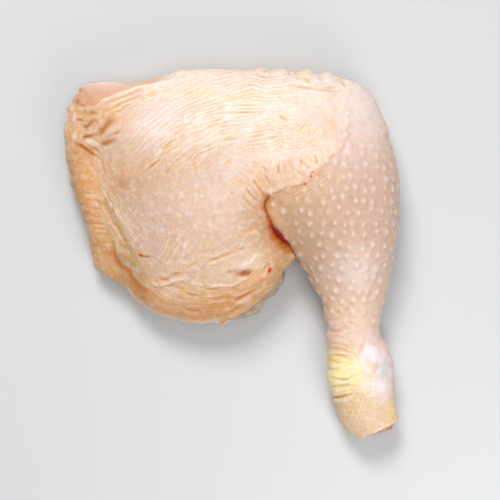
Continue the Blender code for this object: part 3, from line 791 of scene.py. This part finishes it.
# ---------------------------------------------------------------------------------------------------
# At the ankle the skin lies in soft rings.  Below it bulges over the white hock joint, and turns into
# the yellow, scaled skin of the shank, which is deeply creased at its bending side.
YELLOW_SKIN = [
    (38.5, -44.4), (48.3, -44.4), (54.5, -48.4), (59.0, -55.5), (63.4, -61.8), (69.6, -66.2), (75.0, -67.1),
    (80.3, -83.1), (57.2, -92.0), (39.4, -78.7),
]
HOCK = (64.7, -48.4)
NETTED = (64.3, -59.1)
PLATE_SIZE = (2.9, 2.1)
SHANK_HALF = 13.0
CUT_MIDDLE = (66.5, -78.8)
CUT_FACING = (0.4226, -0.9063)

wrinkles([(52.7, -17.3), (54.1, -28.8), (55.0, -37.7)], 16.0, 5.0, 2.6, 0.24, 131, across=True, shading_paint=0.12)
wrinkles(
    [(45.6, -38.6), (46.5, -44.0), (47.4, -50.2), (48.7, -57.3), (50.1, -64.4)],
    9.0, 7.0, 1.5, 0.16, 135, across=True, ends=0.1, shading_paint=0.3,
)
# The floors of the shank's creases are painted golden brown as shade.
for route, wide, deep, shading_paint in (
    ([(42.3, -45.5), (45.6, -45.3), (49.2, -45.7), (52.7, -47.1)], 0.5, 0.45, 0.8),
    ([(41.2, -48.0), (45.6, -48.2), (49.2, -48.9)], 0.55, 0.36, 0.5),
    ([(41.6, -51.5), (45.2, -52.2), (48.7, -51.8)], 0.55, 0.32, 0.45),
    ([(41.2, -54.2), (45.2, -55.5), (49.2, -56.2), (53.6, -56.0)], 0.5, 0.6, 0.8),
    ([(42.1, -59.8), (47.4, -59.3), (51.8, -58.9), (56.3, -59.3)], 0.55, 0.38, 0.5),
    ([(42.9, -65.1), (45.6, -64.4), (48.7, -64.0), (51.4, -63.1), (54.5, -62.7)], 0.55, 0.8, 1.2),
    ([(47.4, -62.0), (51.0, -61.1), (54.5, -60.9)], 0.4, 0.25, 0.6),
    ([(53.6, -43.1), (55.4, -46.2), (57.2, -48.9)], 0.5, 0.3, 0.3),
):
    shaded_crease(route, wide, deep, shading_paint, name="golden_groove_shade")
for route, wide, deep, shading_paint in (
    ([(42.5, -34.0), (44.7, -34.8), (47.4, -34.6), (51.8, -32.4)], 0.7, 0.5, 0.35),
    ([(42.1, -37.3), (45.6, -37.1), (49.6, -37.7), (53.6, -39.5)], 0.5, 0.3, 0.3),
    ([(42.5, -40.4), (46.1, -40.2), (49.6, -40.9), (52.7, -42.6)], 0.5, 0.35, 0.4),
    ([(42.5, -42.6), (46.1, -42.4), (49.6, -43.1), (52.7, -44.9)], 0.5, 0.4, 0.45),
    ([(59.9, -37.7), (59.0, -40.0), (57.9, -42.6), (56.7, -45.7), (56.1, -48.0)], 0.8, 0.6, 0.4),
    ([(62.5, -39.1), (63.4, -40.4), (64.7, -40.0)], 0.8, 0.5, 0.4),
    ([(51.0, -30.6), (53.6, -31.5), (56.3, -33.7)], 0.6, 0.35, 0.35),
    ([(43.8, -24.8), (46.9, -26.2), (50.1, -25.7), (53.6, -23.5)], 0.7, 0.3, 0.3),
    ([(42.1, -28.8), (45.2, -29.7), (48.7, -28.8)], 0.6, 0.3, 0.3),
):
    shaded_crease(route, wide, deep, shading_paint)
for route in (
    [(43.8, -57.8), (48.3, -57.5), (53.6, -57.3)],
    [(44.7, -61.5), (48.7, -61.3), (53.6, -60.7)],
    [(42.5, -50.0), (46.5, -50.2), (50.5, -50.2)], [(43.8, -66.2), (48.3, -65.8), (52.7, -65.3)],
):
    ridge(route, 0.8, 0.4, highlight_paint=0.6)
lift += 0.7 * bell(np.hypot(plan[:, 0] - 63.0, (plan[:, 1] + 47.5) * 0.8), 6.0) * upward
hock = bell(np.hypot(*(plan - HOCK).T), 9.5) * upward
lift += 0.22 * hock * noise(rest, 1.9, 211)
mark("mauve", slice(None), 1.5 * hock)
mark("white", slice(None), 1.15 * hock * np.clip(0.45 + 0.8 * noise(rest, 2.6, 213), 0.0, 1.0))
for patch in (
    ("white", (62.1, -44.4), 5.0, 0.7, 0.7, -60), ("white", (66.5, -59.5), 4.0, 0.95, 0.8, -60),
    ("blue", (67.2, -51.8), 2.6, 0.9),
):
    spot(*patch)
# Tan spots round the hock; the large one on its right edge is painted shade.
for centre, size, amount, turn in (
    ((64.3, -52.0), 1.6, 0.9, 60), ((66.3, -45.1), 1.4, 0.8, 0), ((62.5, -48.9), 1.3, 0.5, 20),
    ((59.9, -47.5), 1.6, 0.5, 70), ((67.9, -47.5), 1.5, 0.4, 70), ((71.9, -58.2), 3.4, 1.0, 80),
    ((70.5, -52.9), 2.2, 0.6, 70), ((64.7, -39.1), 2.0, 0.6, 20), ((67.9, -63.1), 2.0, 0.5, 60),
):
    spot("tan", centre, size, amount, 0.6, turn)
yellowing = inside(YELLOW_SKIN, 2.6)
mark("yellow", slice(None), yellowing * (0.85 + 0.15 * noise(rest, 5.0, 17)))
for patch in (
    ("yolk", (45.6, -50.2), 6.0, 1.2, 0.9, 70), ("golden_groove_shade", (43.4, -47.5), 2.6, 0.35, 0.6, 80),
    ("yolk", (45.6, -57.8), 7.0, 0.9, 0.8, 80), ("yolk", (53.6, -52.9), 8.0, 0.85),
    ("yolk", (52.7, -61.8), 8.0, 0.5),
):
    spot(*patch)


def plates(points, size, seed, loose=0.32):
    """How far each point is from the border between the nearest two of many scattered middles."""
    cell = points / size
    nearest = np.full(len(cell), 9.0)
    second = nearest.copy()
    for step_x in (-1, 0, 1):
        for step_y in (-1, 0, 1):
            spot_y = np.floor(cell[:, 1]) + step_y
            spot_x = np.floor(cell[:, 0] - 0.5 * (spot_y % 2)) + step_x
            shift = [loose * noise(np.column_stack([spot_x, spot_y]) + 0.5, 0.37, seed + k) for k in (0, 1)]
            middle_x = spot_x + 0.5 + 0.5 * (spot_y % 2) + shift[0]
            far = np.hypot(cell[:, 0] - middle_x, cell[:, 1] - spot_y - 0.5 - shift[1])
            second = np.minimum(second, np.maximum(far, nearest))
            nearest = np.minimum(nearest, far)
    return second - nearest


scaly = yellowing * fade(-plan[:, 1], 58.0, 66.0)
round_way = np.column_stack([turn_round * SHANK_HALF, rest[:, 1]])
round_way += 0.5 * np.column_stack([noise(rest, 4.0, 153), noise(rest, 4.0, 155)])
gap = plates(round_way, PLATE_SIZE, 141)
groove = (1 - fade(gap, 0.0, 0.35)) * np.clip(0.75 + 0.7 * noise(rest, 4.5, 149), 0.0, 1.0)
lift -= 0.22 * scaly * groove
# The sunken seams between the scales are painted pale, their own colour.
mark("highlight_and_pale", slice(None), 0.6 * scaly * groove * (0.6 + 0.5 * noise(rest, 5.0, 145)))
mark("tan", slice(None), 0.75 * scaly * fade(gap, 0.2, 0.7) * (0.5 + 0.5 * noise(rest, 4.0, 143)))
mark("tan", slice(None), 0.5 * scaly)
for patch in (
    # A darker patch of painted crease shade low on the shank's left side.
    ("tan", (49.6, -69.8), 8.0, 0.6, 0.7, -60), ("shaded_crease", (49.6, -69.3), 6.5, 0.3, 0.7, -60),
    ("tan", (64.7, -72.4), 10.0, 0.8), ("olive", (65.2, -71.6), 10.0, 0.22),
):
    spot(*patch)
net = np.clip(1 - 2.2 * np.abs(noise(rest, (1.9, 1.6, 1.9), 147)), 0.0, 1.0)
netted = net * bell(np.hypot(*(plan - NETTED).T), 6.5) * upward
mark("white", slice(None), 0.9 * netted)
mark("white", slice(None), 0.2 * net * bell(np.hypot(*(plan - (66.1, -67.6)).T), 8.0) * upward)
for patch in (
    ("yolk", (63.4, -64.4), 11.0, 0.3, 0.7, -60), ("tan", (59.9, -65.8), 8.0, 0.65, 0.8, -60),
    ("yolk", (47.4, -61.8), 5.0, 0.5), ("yolk", (53.6, -67.1), 10.0, 0.3, 0.6, 0),
):
    spot(*patch)
lift += 0.2 * netted
spot("olive", (70.5, -69.3), 6.0, 1.0, 0.45, 70)
past_cut = (rest[:, :2] - CUT_MIDDLE) @ np.array(CUT_FACING)
ragged = np.clip(0.6 + 0.6 * noise(rest, 2.2, 151), 0, 1)
lift += 0.5 * bell(past_cut + 1.1, 0.9) * ragged * (rest[:, 0] > 40)
cut_face = fade(past_cut, -0.7, -0.1)
mark("red", slice(None), 0.7 * cut_face * fade(rest[:, 0], 59.0, 65.0))
# The raised torn rim is painted paler: partly its pale tissue, partly painted highlight.
mark("highlight_and_pale", slice(None), 0.6 * bell(past_cut + 0.9, 0.5) * (rest[:, 0] > 62))
spot("fat", (70.8, -71.1), 4.0, 0.45, 0.6, 70)
spot("fat", (44.3, -47.1), 3.0, 0.4)

# ---------------------------------------------------------------------------------------------------
# The flanks and the side it lies on are plainer: the skin is drawn under the thigh in loose level
# wrinkles with painted shade in their valleys.  It is tan like the lower edge, partly as painted shade on
# the flanks, and the leg's weight has pressed it smooth below.
under = (1 - upward) * (1 - limb)
loose = 1 - 2 * np.abs(noise(rest, (8.0, 8.0, 2.2), 191)) ** 0.8
lift -= 0.22 * under * fade(rest[:, 2], 0.5, 4.0) * loose
mark("line", slice(None), 0.5 * under * np.clip(loose, 0, 1))
mark("warm", slice(None), 0.55 * under * (0.7 + 0.4 * noise(rest, 9.0, 193)))
mark("pink", slice(None), 0.35 * under * fade(3.0 - rest[:, 2], 0.0, 3.0))

# ---------------------------------------------------------------------------------------------------
# The sculpted surface is put back into the skin's mesh, with a value of every mark at each point.
# Where the skin lies plain, its faces are thinned.
FACES_KEPT = 188000

for name, share in (("pink", 1.0), ("raw", 1.0), ("yellow", 0.9), ("white", 0.7), ("cream", 0.5)):
    mark("even", slice(None), share * marks[name])
for name in ("amber", "red", "blood"):
    mark("dull", slice(None), marks[name])
lift += (0.15 * noise(rest, 3.4, 201) + 0.12 * noise(rest, 1.7, 203)) * (1 - 0.6 * thin)
moved = rest + out * lift[:, None]
moved[:, :2] += shove
moved[:, 2] = np.maximum(moved[:, 2], rest[:, 2].min())
skin.data.vertices.foreach_set("co", (moved * MM).astype(np.float32).ravel())
for name, layer in marks.items():
    attribute = skin.data.attributes.new(name, "FLOAT", "POINT")
    attribute.data.foreach_set("value", layer.astype(np.float32))
# Where two strips of wrinkles meet, their flows don't, so the fine lines stop short of the join.
joins = np.empty(2 * len(skin.data.edges), np.int32)
skin.data.edges.foreach_get("vertices", joins)
joins = joins.reshape(-1, 2)
meeting = line_flow[joins[:, 0], 2] != line_flow[joins[:, 1], 2]
for ring in range(3):
    line_cover[joins[meeting]] = 0.0
    meeting = (line_cover[joins, 0] == 0.0).any(1)
attribute = skin.data.attributes.new("lines", "FLOAT", "POINT")
attribute.data.foreach_set("value", line_cover[:, 0].astype(np.float32))
attribute = skin.data.attributes.new("flow", "FLOAT_VECTOR", "POINT")
attribute.data.foreach_set("vector", line_flow.astype(np.float32).ravel())
thinner = skin.modifiers.new("thinner", "DECIMATE")
thinner.ratio = FACES_KEPT / (2 * len(skin.data.polygons))
bpy.ops.object.modifier_apply(modifier="thinner")
bpy.ops.object.shade_smooth()


# ---------------------------------------------------------------------------------------------------
# The skin is wet and lets some light through to the fat and meat under it.  Its colours are laid one
# over the other: soft mottling of the tissue first, then each mark in its own colour.  Some marks are
# painted light: shade in creases, wrinkle valleys and under the lap's edge, highlights on crests and ridges.


def wire(tree, kind, inputs, **settings):
    """A new node, each input of which is joined to another node or set to a plain value."""
    node = tree.nodes.new(kind)
    for name, value in settings.items():
        setattr(node, name, value)
    for name, value in inputs.items():
        if isinstance(value, bpy.types.NodeSocket):
            tree.links.new(value, node.inputs[name])
        else:
            node.inputs[name].default_value = value
    return node


def times(tree, first, second):
    """The product of two masks, or of a mask and a share."""
    return wire(tree, "ShaderNodeMath", {0: first, 1: second}, operation="MULTIPLY").outputs["Value"]


def stretched(tree, value, low, high):
    """A mask stretched so that low becomes 0 and high becomes 1."""
    inputs = {"Value": value, "From Min": low, "From Max": high}
    return wire(tree, "ShaderNodeMapRange", inputs).outputs["Result"]


def between(tree, value, least, most):
    """A mask turned into a value that runs from least to most."""
    inputs = {"Value": value, "To Min": least, "To Max": most}
    return wire(tree, "ShaderNodeMapRange", inputs).outputs["Result"]


def tint(tree, under, paint, amount):
    """Mixes a paint over the colours so far, by a mask."""
    inputs = {"Factor": amount, "A": under, "B": (*paint, 1.0)}
    return wire(tree, "ShaderNodeMix", inputs, data_type="RGBA").outputs["Result"]


def mask(tree, name):
    """One of the marks left on the skin."""
    return wire(tree, "ShaderNodeAttribute", {}, attribute_name=name).outputs["Fac"]


# Every wet tissue here is mottled in soft lumps.  The group gives them as a mask, with their size in
# millimetres, stretched between two levels and held back by a share.
mottling = bpy.data.node_groups.new("mottling", "ShaderNodeTree")
for name in ("Lump Size", "Low", "High", "Share"):
    mottling.interface.new_socket(name, in_out="INPUT", socket_type="NodeSocketFloat")
mottling.interface.new_socket("Mask", in_out="OUTPUT", socket_type="NodeSocketFloat")
given = mottling.nodes.new("NodeGroupInput").outputs
place = wire(mottling, "ShaderNodeTexCoord", {}).outputs["Object"]
per_metre = wire(mottling, "ShaderNodeMath", {0: 1.0 / MM, 1: given["Lump Size"]}, operation="DIVIDE")
soft_lumps = {"Vector": place, "Scale": per_metre.outputs["Value"], "Detail": 2.0}
lumpy = wire(mottling, "ShaderNodeTexNoise", soft_lumps).outputs["Fac"]
lumpy = times(mottling, stretched(mottling, lumpy, given["Low"], given["High"]), given["Share"])
wire(mottling, "NodeGroupOutput", {"Mask": lumpy})


def mottle(tree, size, low=0.0, high=1.0, share=1.0):
    """The mottling group placed in a material with its own values."""
    inputs = {"Lump Size": size, "Low": low, "High": high, "Share": share}
    return wire(tree, "ShaderNodeGroup", inputs, node_tree=mottling).outputs["Mask"]


material = bpy.data.materials.new("raw_chicken_skin")
material.use_nodes = True
tree = material.node_tree
shader = tree.nodes["Principled BSDF"]
for socket, value in (
    ("Subsurface Weight", 0.35), ("Subsurface Radius", (1.0, 0.40, 0.16)), ("Subsurface Scale", 0.0009),
    ("Specular IOR Level", 0.25), ("Coat Weight", 0.12), ("Coat Roughness", 0.22),
):
    shader.inputs[socket].default_value = value

# The plain skin colour comes first, then the deeper tints, the mottling and last the marks on top.
colour = (0.70, 0.465, 0.305, 1.0)
colour = tint(tree, colour, (0.71, 0.45, 0.31), mottle(tree, 7.0, 0.45, 0.65, 0.7))
colour = tint(tree, colour, (0.80, 0.57, 0.32), mottle(tree, 5.0, 0.50, 0.70, 0.6))
# Of these tints, cream is partly painted light on the far side, and warm and tan are in places painted
# shade.
for name, paint, share in (
    ("cream", (0.92, 0.83, 0.76), 0.9),
    ("pink", (0.62, 0.42, 0.32), 0.92),
    ("warm", (0.76, 0.36, 0.115), 0.88),
    ("olive", (0.49, 0.29, 0.08), 0.9),
    ("mauve", (0.69, 0.505, 0.49), 0.8),
    ("raw", (0.66, 0.35, 0.225), 0.9),
    ("yellow", (0.95, 0.80, 0.50), 0.9),
    ("yolk", (1.0, 0.87, 0.42), 0.95),
    ("pale", (0.86, 0.70, 0.60), 0.8),
    ("tan", (0.56, 0.34, 0.22), 0.7),
    ("grey", (0.72, 0.62, 0.50), 0.9),
):
    colour = tint(tree, colour, paint, times(tree, mask(tree, name), share))
uneven = between(tree, mask(tree, "even"), 1.0, 0.3)
for paint, size, low, high, share in (
    ((0.97, 0.84, 0.80), 2.6, 0.50, 0.66, 0.28),
    ((0.70, 0.40, 0.15), 4.2, 0.50, 0.64, 0.30),
    ((0.66, 0.36, 0.17), 2.2, 0.52, 0.68, 0.26),
    ((0.50, 0.27, 0.15), 1.1, 0.50, 0.75, 0.20),
    ((0.97, 0.87, 0.78), 1.4, 0.54, 0.75, 0.16),
):
    colour = tint(tree, colour, paint, times(tree, mottle(tree, size, low, high, share), uneven))
# Among these marks the wrinkle-valley paint, the crease paint and the golden groove paint are painted shade;
# the pale cream paint is painted highlight, and also the pale seams of the scales; the rust-brown paint is
# brown stains and also the painted shadow under the lap's edge.
for name, paint, share in (
    ("white", (0.87, 0.78, 0.81), 0.95),
    ("blue", (0.62, 0.62, 0.66), 0.8),
    ("fat", (0.90, 0.60, 0.13), 0.85),
    ("line", (0.80, 0.48, 0.20), 0.9),
    ("shaded_crease", (0.66, 0.29, 0.07), 0.9),
    ("golden_groove_shade", (0.66, 0.40, 0.05), 1.0),
    ("highlight_and_pale", (0.95, 0.84, 0.73), 0.75),
    ("amber", (0.43, 0.13, 0.005), 1.0),
    ("brown_stain_and_shadow", (0.42, 0.12, 0.035), 0.95),
    ("red", (0.56, 0.05, 0.002), 1.0),
    ("blood", (0.12, 0.005, 0.003), 1.0),
):
    colour = tint(tree, colour, paint, times(tree, mask(tree, name), share))

# Lines finer than the mesh run along the flow of the wrinkles, broken here and there.  Their grooves are
# painted darker tan as shade.
flow = wire(tree, "ShaderNodeAttribute", {}, attribute_name="flow").outputs["Vector"]
bands = {"Vector": flow, "Scale": 0.3, "Distortion": 4.0, "Detail": 2.0, "Detail Scale": 0.4}
fine_lines = wire(tree, "ShaderNodeTexWave", bands, bands_direction="Y").outputs["Fac"]
cut = times(tree, stretched(tree, fine_lines, 0.45, 1.0), mottle(tree, 6.0, 0.30, 0.62))
cut = times(tree, cut, mask(tree, "lines"))
colour = tint(tree, colour, (0.74, 0.42, 0.16), times(tree, cut, 0.7))
tree.links.new(colour, shader.inputs["Base Color"])

# The thigh's skin is grittier than the drumstick's, and clotted blood takes off the wet gloss.
grit = {
    "Strength": between(tree, mask(tree, "pink"), 0.6, 0.2), "Distance": 0.0004, "Height": mottle(tree, 1.3),
}
grit = wire(tree, "ShaderNodeBump", grit).outputs["Normal"]
scratched = wire(tree, "ShaderNodeBump", {"Distance": 0.00018, "Height": cut, "Normal": grit}, invert=True)
tree.links.new(scratched.outputs["Normal"], shader.inputs["Normal"])
tree.links.new(between(tree, mask(tree, "dull"), 0.38, 0.9), shader.inputs["Roughness"])
skin.data.materials.append(material)

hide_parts("leg_quarter")
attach(skin, "root")

# ---------------------------------------------------------------------------------------------------
# Down in the fold thigh and drumstick are joined by a thin web of wet tissue, on which blood has run.
# It is a narrow strip, sunk a little under the skin on both sides.
WEB_HALF = 1.6
WEB_THICK = 2.5
CLOT_STARTS = 14.5
CLOT_FULL = 9.5


def loft(name, rings):
    """A closed piece drawn over rings of points, each with the same number of points."""
    rows, around = len(rings), len(rings[0])
    faces = [tuple(range(around))[::-1], tuple((rows - 1) * around + c for c in range(around))]
    for r in range(rows - 1):
        for c in range(around):
            a, b = r * around + c, r * around + (c + 1) % around
            faces.append((a, b, b + around, a + around))
    mesh = bpy.data.meshes.new(name)
    mesh.from_pydata((np.array(rings).reshape(-1, 3) * MM).tolist(), [], faces)
    piece = bpy.data.objects.new(name, mesh)
    bpy.context.scene.collection.objects.link(piece)
    bpy.ops.object.select_all(action="DESELECT")
    piece.select_set(True)
    bpy.context.view_layer.objects.active = piece
    bpy.ops.object.mode_set(mode="EDIT")
    bpy.ops.mesh.select_all(action="SELECT")
    bpy.ops.mesh.normals_make_consistent(inside=False)
    bpy.ops.mesh.subdivide(number_cuts=1)
    bpy.ops.object.mode_set(mode="OBJECT")
    bpy.ops.object.shade_smooth()
    return piece


def flesh(name, dark, light, size, roughness, clot=None):
    """A wet tissue mottled in lumps of a size.  Given a clot's colour, its near end is dark with it."""
    tissue = bpy.data.materials.new(name)
    tissue.use_nodes = True
    tree = tissue.node_tree
    shader = tree.nodes["Principled BSDF"]
    for socket, value in (
        ("Roughness", roughness), ("Specular IOR Level", 0.2), ("Subsurface Weight", 0.3),
        ("Subsurface Radius", (1.0, 0.4, 0.2)), ("Subsurface Scale", 0.0012),
    ):
        shader.inputs[socket].default_value = value
    paint = tint(tree, (*dark, 1.0), light, mottle(tree, size, 0.42, 0.60))
    if clot:
        place = wire(tree, "ShaderNodeTexCoord", {}).outputs["Object"]
        nearness = wire(tree, "ShaderNodeSeparateXYZ", {"Vector": place}).outputs["Y"]
        paint = tint(tree, paint, clot, stretched(tree, nearness, CLOT_STARTS * MM, CLOT_FULL * MM))
    tree.links.new(paint, shader.inputs["Base Color"])
    bumps = wire(tree, "ShaderNodeBump", {"Distance": 0.0003, "Height": mottle(tree, 1.1)})
    tree.links.new(bumps.outputs["Normal"], shader.inputs["Normal"])
    return tissue


def lower(flat, height):
    """Points at a height that the camera sees at given places on the leg's widest line."""
    nearer = (EYE[2] - WIDEST_LINE) / (EYE[2] - height)
    return np.column_stack([EYE[:2] + (flat - EYE[:2]) / nearer[:, None], height])


middle = smooth_route(FOLD, 1.0)[3:-5]
way = np.gradient(middle, axis=0)
way /= np.hypot(*way.T)[:, None]
aside = np.column_stack([-way[:, 1], way[:, 0]])
seen = as_seen(moved)
tops = np.array([moved[((seen - m) ** 2).sum(1) < 4.0, 2].max() for m in middle])
tops = np.convolve(np.pad(tops, 3, mode="edge"), np.full(7, 1 / 7), "valid")
part_way = np.linspace(0, 1, len(middle))
sunk = tops - np.interp(part_way, (0, 0.15, 0.45, 0.62, 0.85, 1.0), (1.6, 1.4, 1.4, 2.0, 2.0, 3.4))
half_wide = WEB_HALF * np.interp(part_way, (0, 0.45, 0.6), (0.45, 0.6, 1.0))
rings = np.stack([
    lower(middle + aside * (share * half_wide)[:, None], sunk - drop)
    for share, drop in (
        (-1, 0), (-0.5, 0.25), (0, 0.35), (0.5, 0.25), (1, 0), (1, WEB_THICK), (-1, WEB_THICK),
    )
], 1)
web = loft("fold_web", rings)
web.data.materials.append(
    flesh("bloody_web", (0.38, 0.09, 0.006), (0.50, 0.17, 0.02), 2.5, 0.6, (0.30, 0.012, 0.001))
)
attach(web, "root")

# ---------------------------------------------------------------------------------------------------
# A thin film of pale, half-clear membrane hangs out from under the skin along the lower right edge.
# It is less than a millimetre thick, with a frayed rim.
FILM_EDGE = [
    (25.1, -5.3), (22.7, -12.5), (21.1, -15.3), (19.6, -18.2), (15.4, -21.5), (12.0, -26.0), (8.7, -27.9),
    (5.3, -28.8), (3.3, -29.8), (0.2, -30.4),
]
FILM_WIDE = 6.0
FILM_THICK = 0.35
FILM_LEVEL = 11.5

rim = smooth_route(FILM_EDGE, 0.4)
way = np.gradient(rim, axis=0)
way /= np.hypot(*way.T)[:, None]
outward = np.column_stack([-way[:, 1], way[:, 0]])
run = np.arange(len(rim), dtype=float)
frayed = 0.5 * noise(run[:, None], 11.0, 161) + 0.25 * noise(run[:, None], 4.0, 163) - 0.1
frayed -= 2.5 * (1 - fade(run, 0.0, 12.0) * fade(run[::-1], 0.0, 12.0))
level = FILM_LEVEL + 1.2 * noise(run[:, None], 26.0, 165)
ruffle = 1.5 * noise(run[:, None], 12.0, 167) + 0.6 * noise(run[:, None], 5.0, 169)
rings = np.stack([
    lower(rim + outward * (out_by + near_rim * frayed)[:, None], level + rise + near_rim * ruffle)
    for out_by, near_rim, rise in (
        (-FILM_WIDE, 0.0, 0.8), (-1.4, 0.5, 0.4), (0.0, 1.0, -0.5),
        (-1.4, 0.5, 0.4 - FILM_THICK), (-FILM_WIDE, 0.0, -FILM_THICK),
    )
], 1)
film = loft("edge_film", rings)
film.data.materials.append(flesh("film", (0.42, 0.33, 0.24), (0.56, 0.47, 0.38), 4.0, 0.5))
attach(film, "root")

# ---------------------------------------------------------------------------------------------------
# Small shreds of meat and fat, torn where the leg was cut free, stick out along the lower edge.
# Each is a ball drawn out into a flat, lumpy tongue.
bpy.ops.object.select_all(action="DESELECT")
shreds = []
for number, (centre, long, wide, turn, level) in enumerate((
    ((-4.5, -31.2), 2.4, 1.1, -65, 9.0), ((-2.4, -30.7), 1.7, 0.9, 20, 9.0),
    ((-6.5, -30.4), 1.2, 0.8, 0, 9.5),
    ((2.2, -29.5), 1.1, 0.7, 70, 8.5), ((-41.6, -21.8), 1.6, 0.8, -50, 8.0),
    ((-44.6, -19.0), 1.2, 0.7, -70, 8.0),
    ((-39.4, -22.9), 1.0, 0.6, -30, 8.0),
)):
    bpy.ops.mesh.primitive_ico_sphere_add(subdivisions=4, radius=1.0)
    shred = bpy.context.object
    ball = read_points(shred.data, "co")
    ball *= 1 + 0.30 * noise(ball + 10 * number, 1.1, 171)[:, None]
    ball = ball * (long, wide, 0.5 * wide)
    ball[:, 1:] *= 1 - 0.45 * np.clip(ball[:, :1] / long, -0.6, 1.0)
    ball[:, 1] += 0.25 * ball[:, 0] * noise(ball[:, :1] + 5 * number, 1.5, 173)
    c, t = math.cos(math.radians(turn)), math.sin(math.radians(turn))
    ball[:, :2] = ball[:, :2] @ np.array([[c, t], [-t, c]])
    ball += lower(np.array([centre]), np.array([level]))[0]
    shred.data.vertices.foreach_set("co", (ball * MM).astype(np.float32).ravel())
    shreds.append(shred)
for shred in shreds:
    shred.select_set(True)
bpy.context.view_layer.objects.active = shreds[0]
bpy.ops.object.join()
tags = bpy.context.object
tags.name = "meat_shreds"
bpy.ops.object.shade_smooth()
tags.data.materials.append(flesh("shreds", (0.76, 0.46, 0.35), (0.90, 0.74, 0.64), 2.0, 0.35))
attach(tags, "root")

# ---------------------------------------------------------------------------------------------------
# At the cut end of the shank torn red tissue stands a little out of the skin.
# It is one flat lump that fills the cut and is torn on its outer side.
CUT_HALF = (8.3, 6.8)
CUT_LEVEL = 10.2

bpy.ops.object.select_all(action="DESELECT")
bpy.ops.mesh.primitive_ico_sphere_add(subdivisions=6, radius=1.0)
stump = bpy.context.object
stump.name = "cut_end"
ball = read_points(stump.data, "co")
around = ball * (CUT_HALF[0], 1.0, CUT_HALF[1])
torn = 1 + 0.6 * noise(around, 2.4, 181) + 0.35 * noise(around, 1.1, 183)
proud = (0.6 + 1.2 * fade(around[:, 0], -6.0, 3.0)) * torn
along_cut = around[:, 0] * (1 + 0.06 * noise(around, 3.0, 185)) - 0.7
out_of_cut = np.where(ball[:, 1] > 0, ball[:, 1] * proud, ball[:, 1] * 1.5) - 0.2
flat = np.column_stack([along_cut, out_of_cut]) @ np.array([(-CUT_FACING[1], CUT_FACING[0]), CUT_FACING])
ball = np.column_stack([flat + CUT_MIDDLE, around[:, 2] + CUT_LEVEL])
stump.data.vertices.foreach_set("co", (ball * MM).astype(np.float32).ravel())
bpy.ops.object.shade_smooth()
stump.data.materials.append(flesh("torn_end", (0.56, 0.25, 0.18), (0.70, 0.40, 0.31), 5.0, 0.45))
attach(stump, "root")

# ---------------------------------------------------------------------------------------------------
# A plain pale table top lies under the leg.  A soft light stands at the far side, a broader one hangs
# overhead, and a small weak one near the shank lightens the shadows.
bpy.ops.object.select_all(action="DESELECT")
bpy.ops.mesh.primitive_plane_add(size=3.0, location=(0.0, 0.0, 0.0))
floor = bpy.context.object
floor.name = "table"
paper = bpy.data.materials.new("pale_table")
paper.use_nodes = True
paper.node_tree.nodes["Principled BSDF"].inputs["Base Color"].default_value = (0.62, 0.63, 0.64, 1.0)
paper.node_tree.nodes["Principled BSDF"].inputs["Roughness"].default_value = 0.8
floor.data.materials.append(paper)

for name, place_at, size, power in (
    ("far_softbox", (-0.22, 0.88, 1.05), 0.50, 14.0),
    ("overhead", (0.15, -0.15, 1.6), 1.2, 8.2),
    ("near_fill", (0.20, -0.30, 0.26), 0.20, 0.66),
):
    light = bpy.data.lights.new(name, "AREA")
    light.size = size
    light.energy = power
    lamp = bpy.data.objects.new(name, light)
    lamp.location = place_at
    aim = -np.array(place_at)
    lamp.rotation_euler = (
        math.atan2(math.hypot(aim[0], aim[1]), -aim[2]), 0.0, math.atan2(aim[0], -aim[1]) + math.pi,
    )
    bpy.context.scene.collection.objects.link(lamp)
world = bpy.data.worlds.new("room")
world.use_nodes = True
world.node_tree.nodes["Background"].inputs["Color"].default_value = (0.95, 0.97, 1.0, 1.0)
world.node_tree.nodes["Background"].inputs["Strength"].default_value = 0.24
bpy.context.scene.world = world
bpy.context.scene.view_settings.view_transform = "Standard"
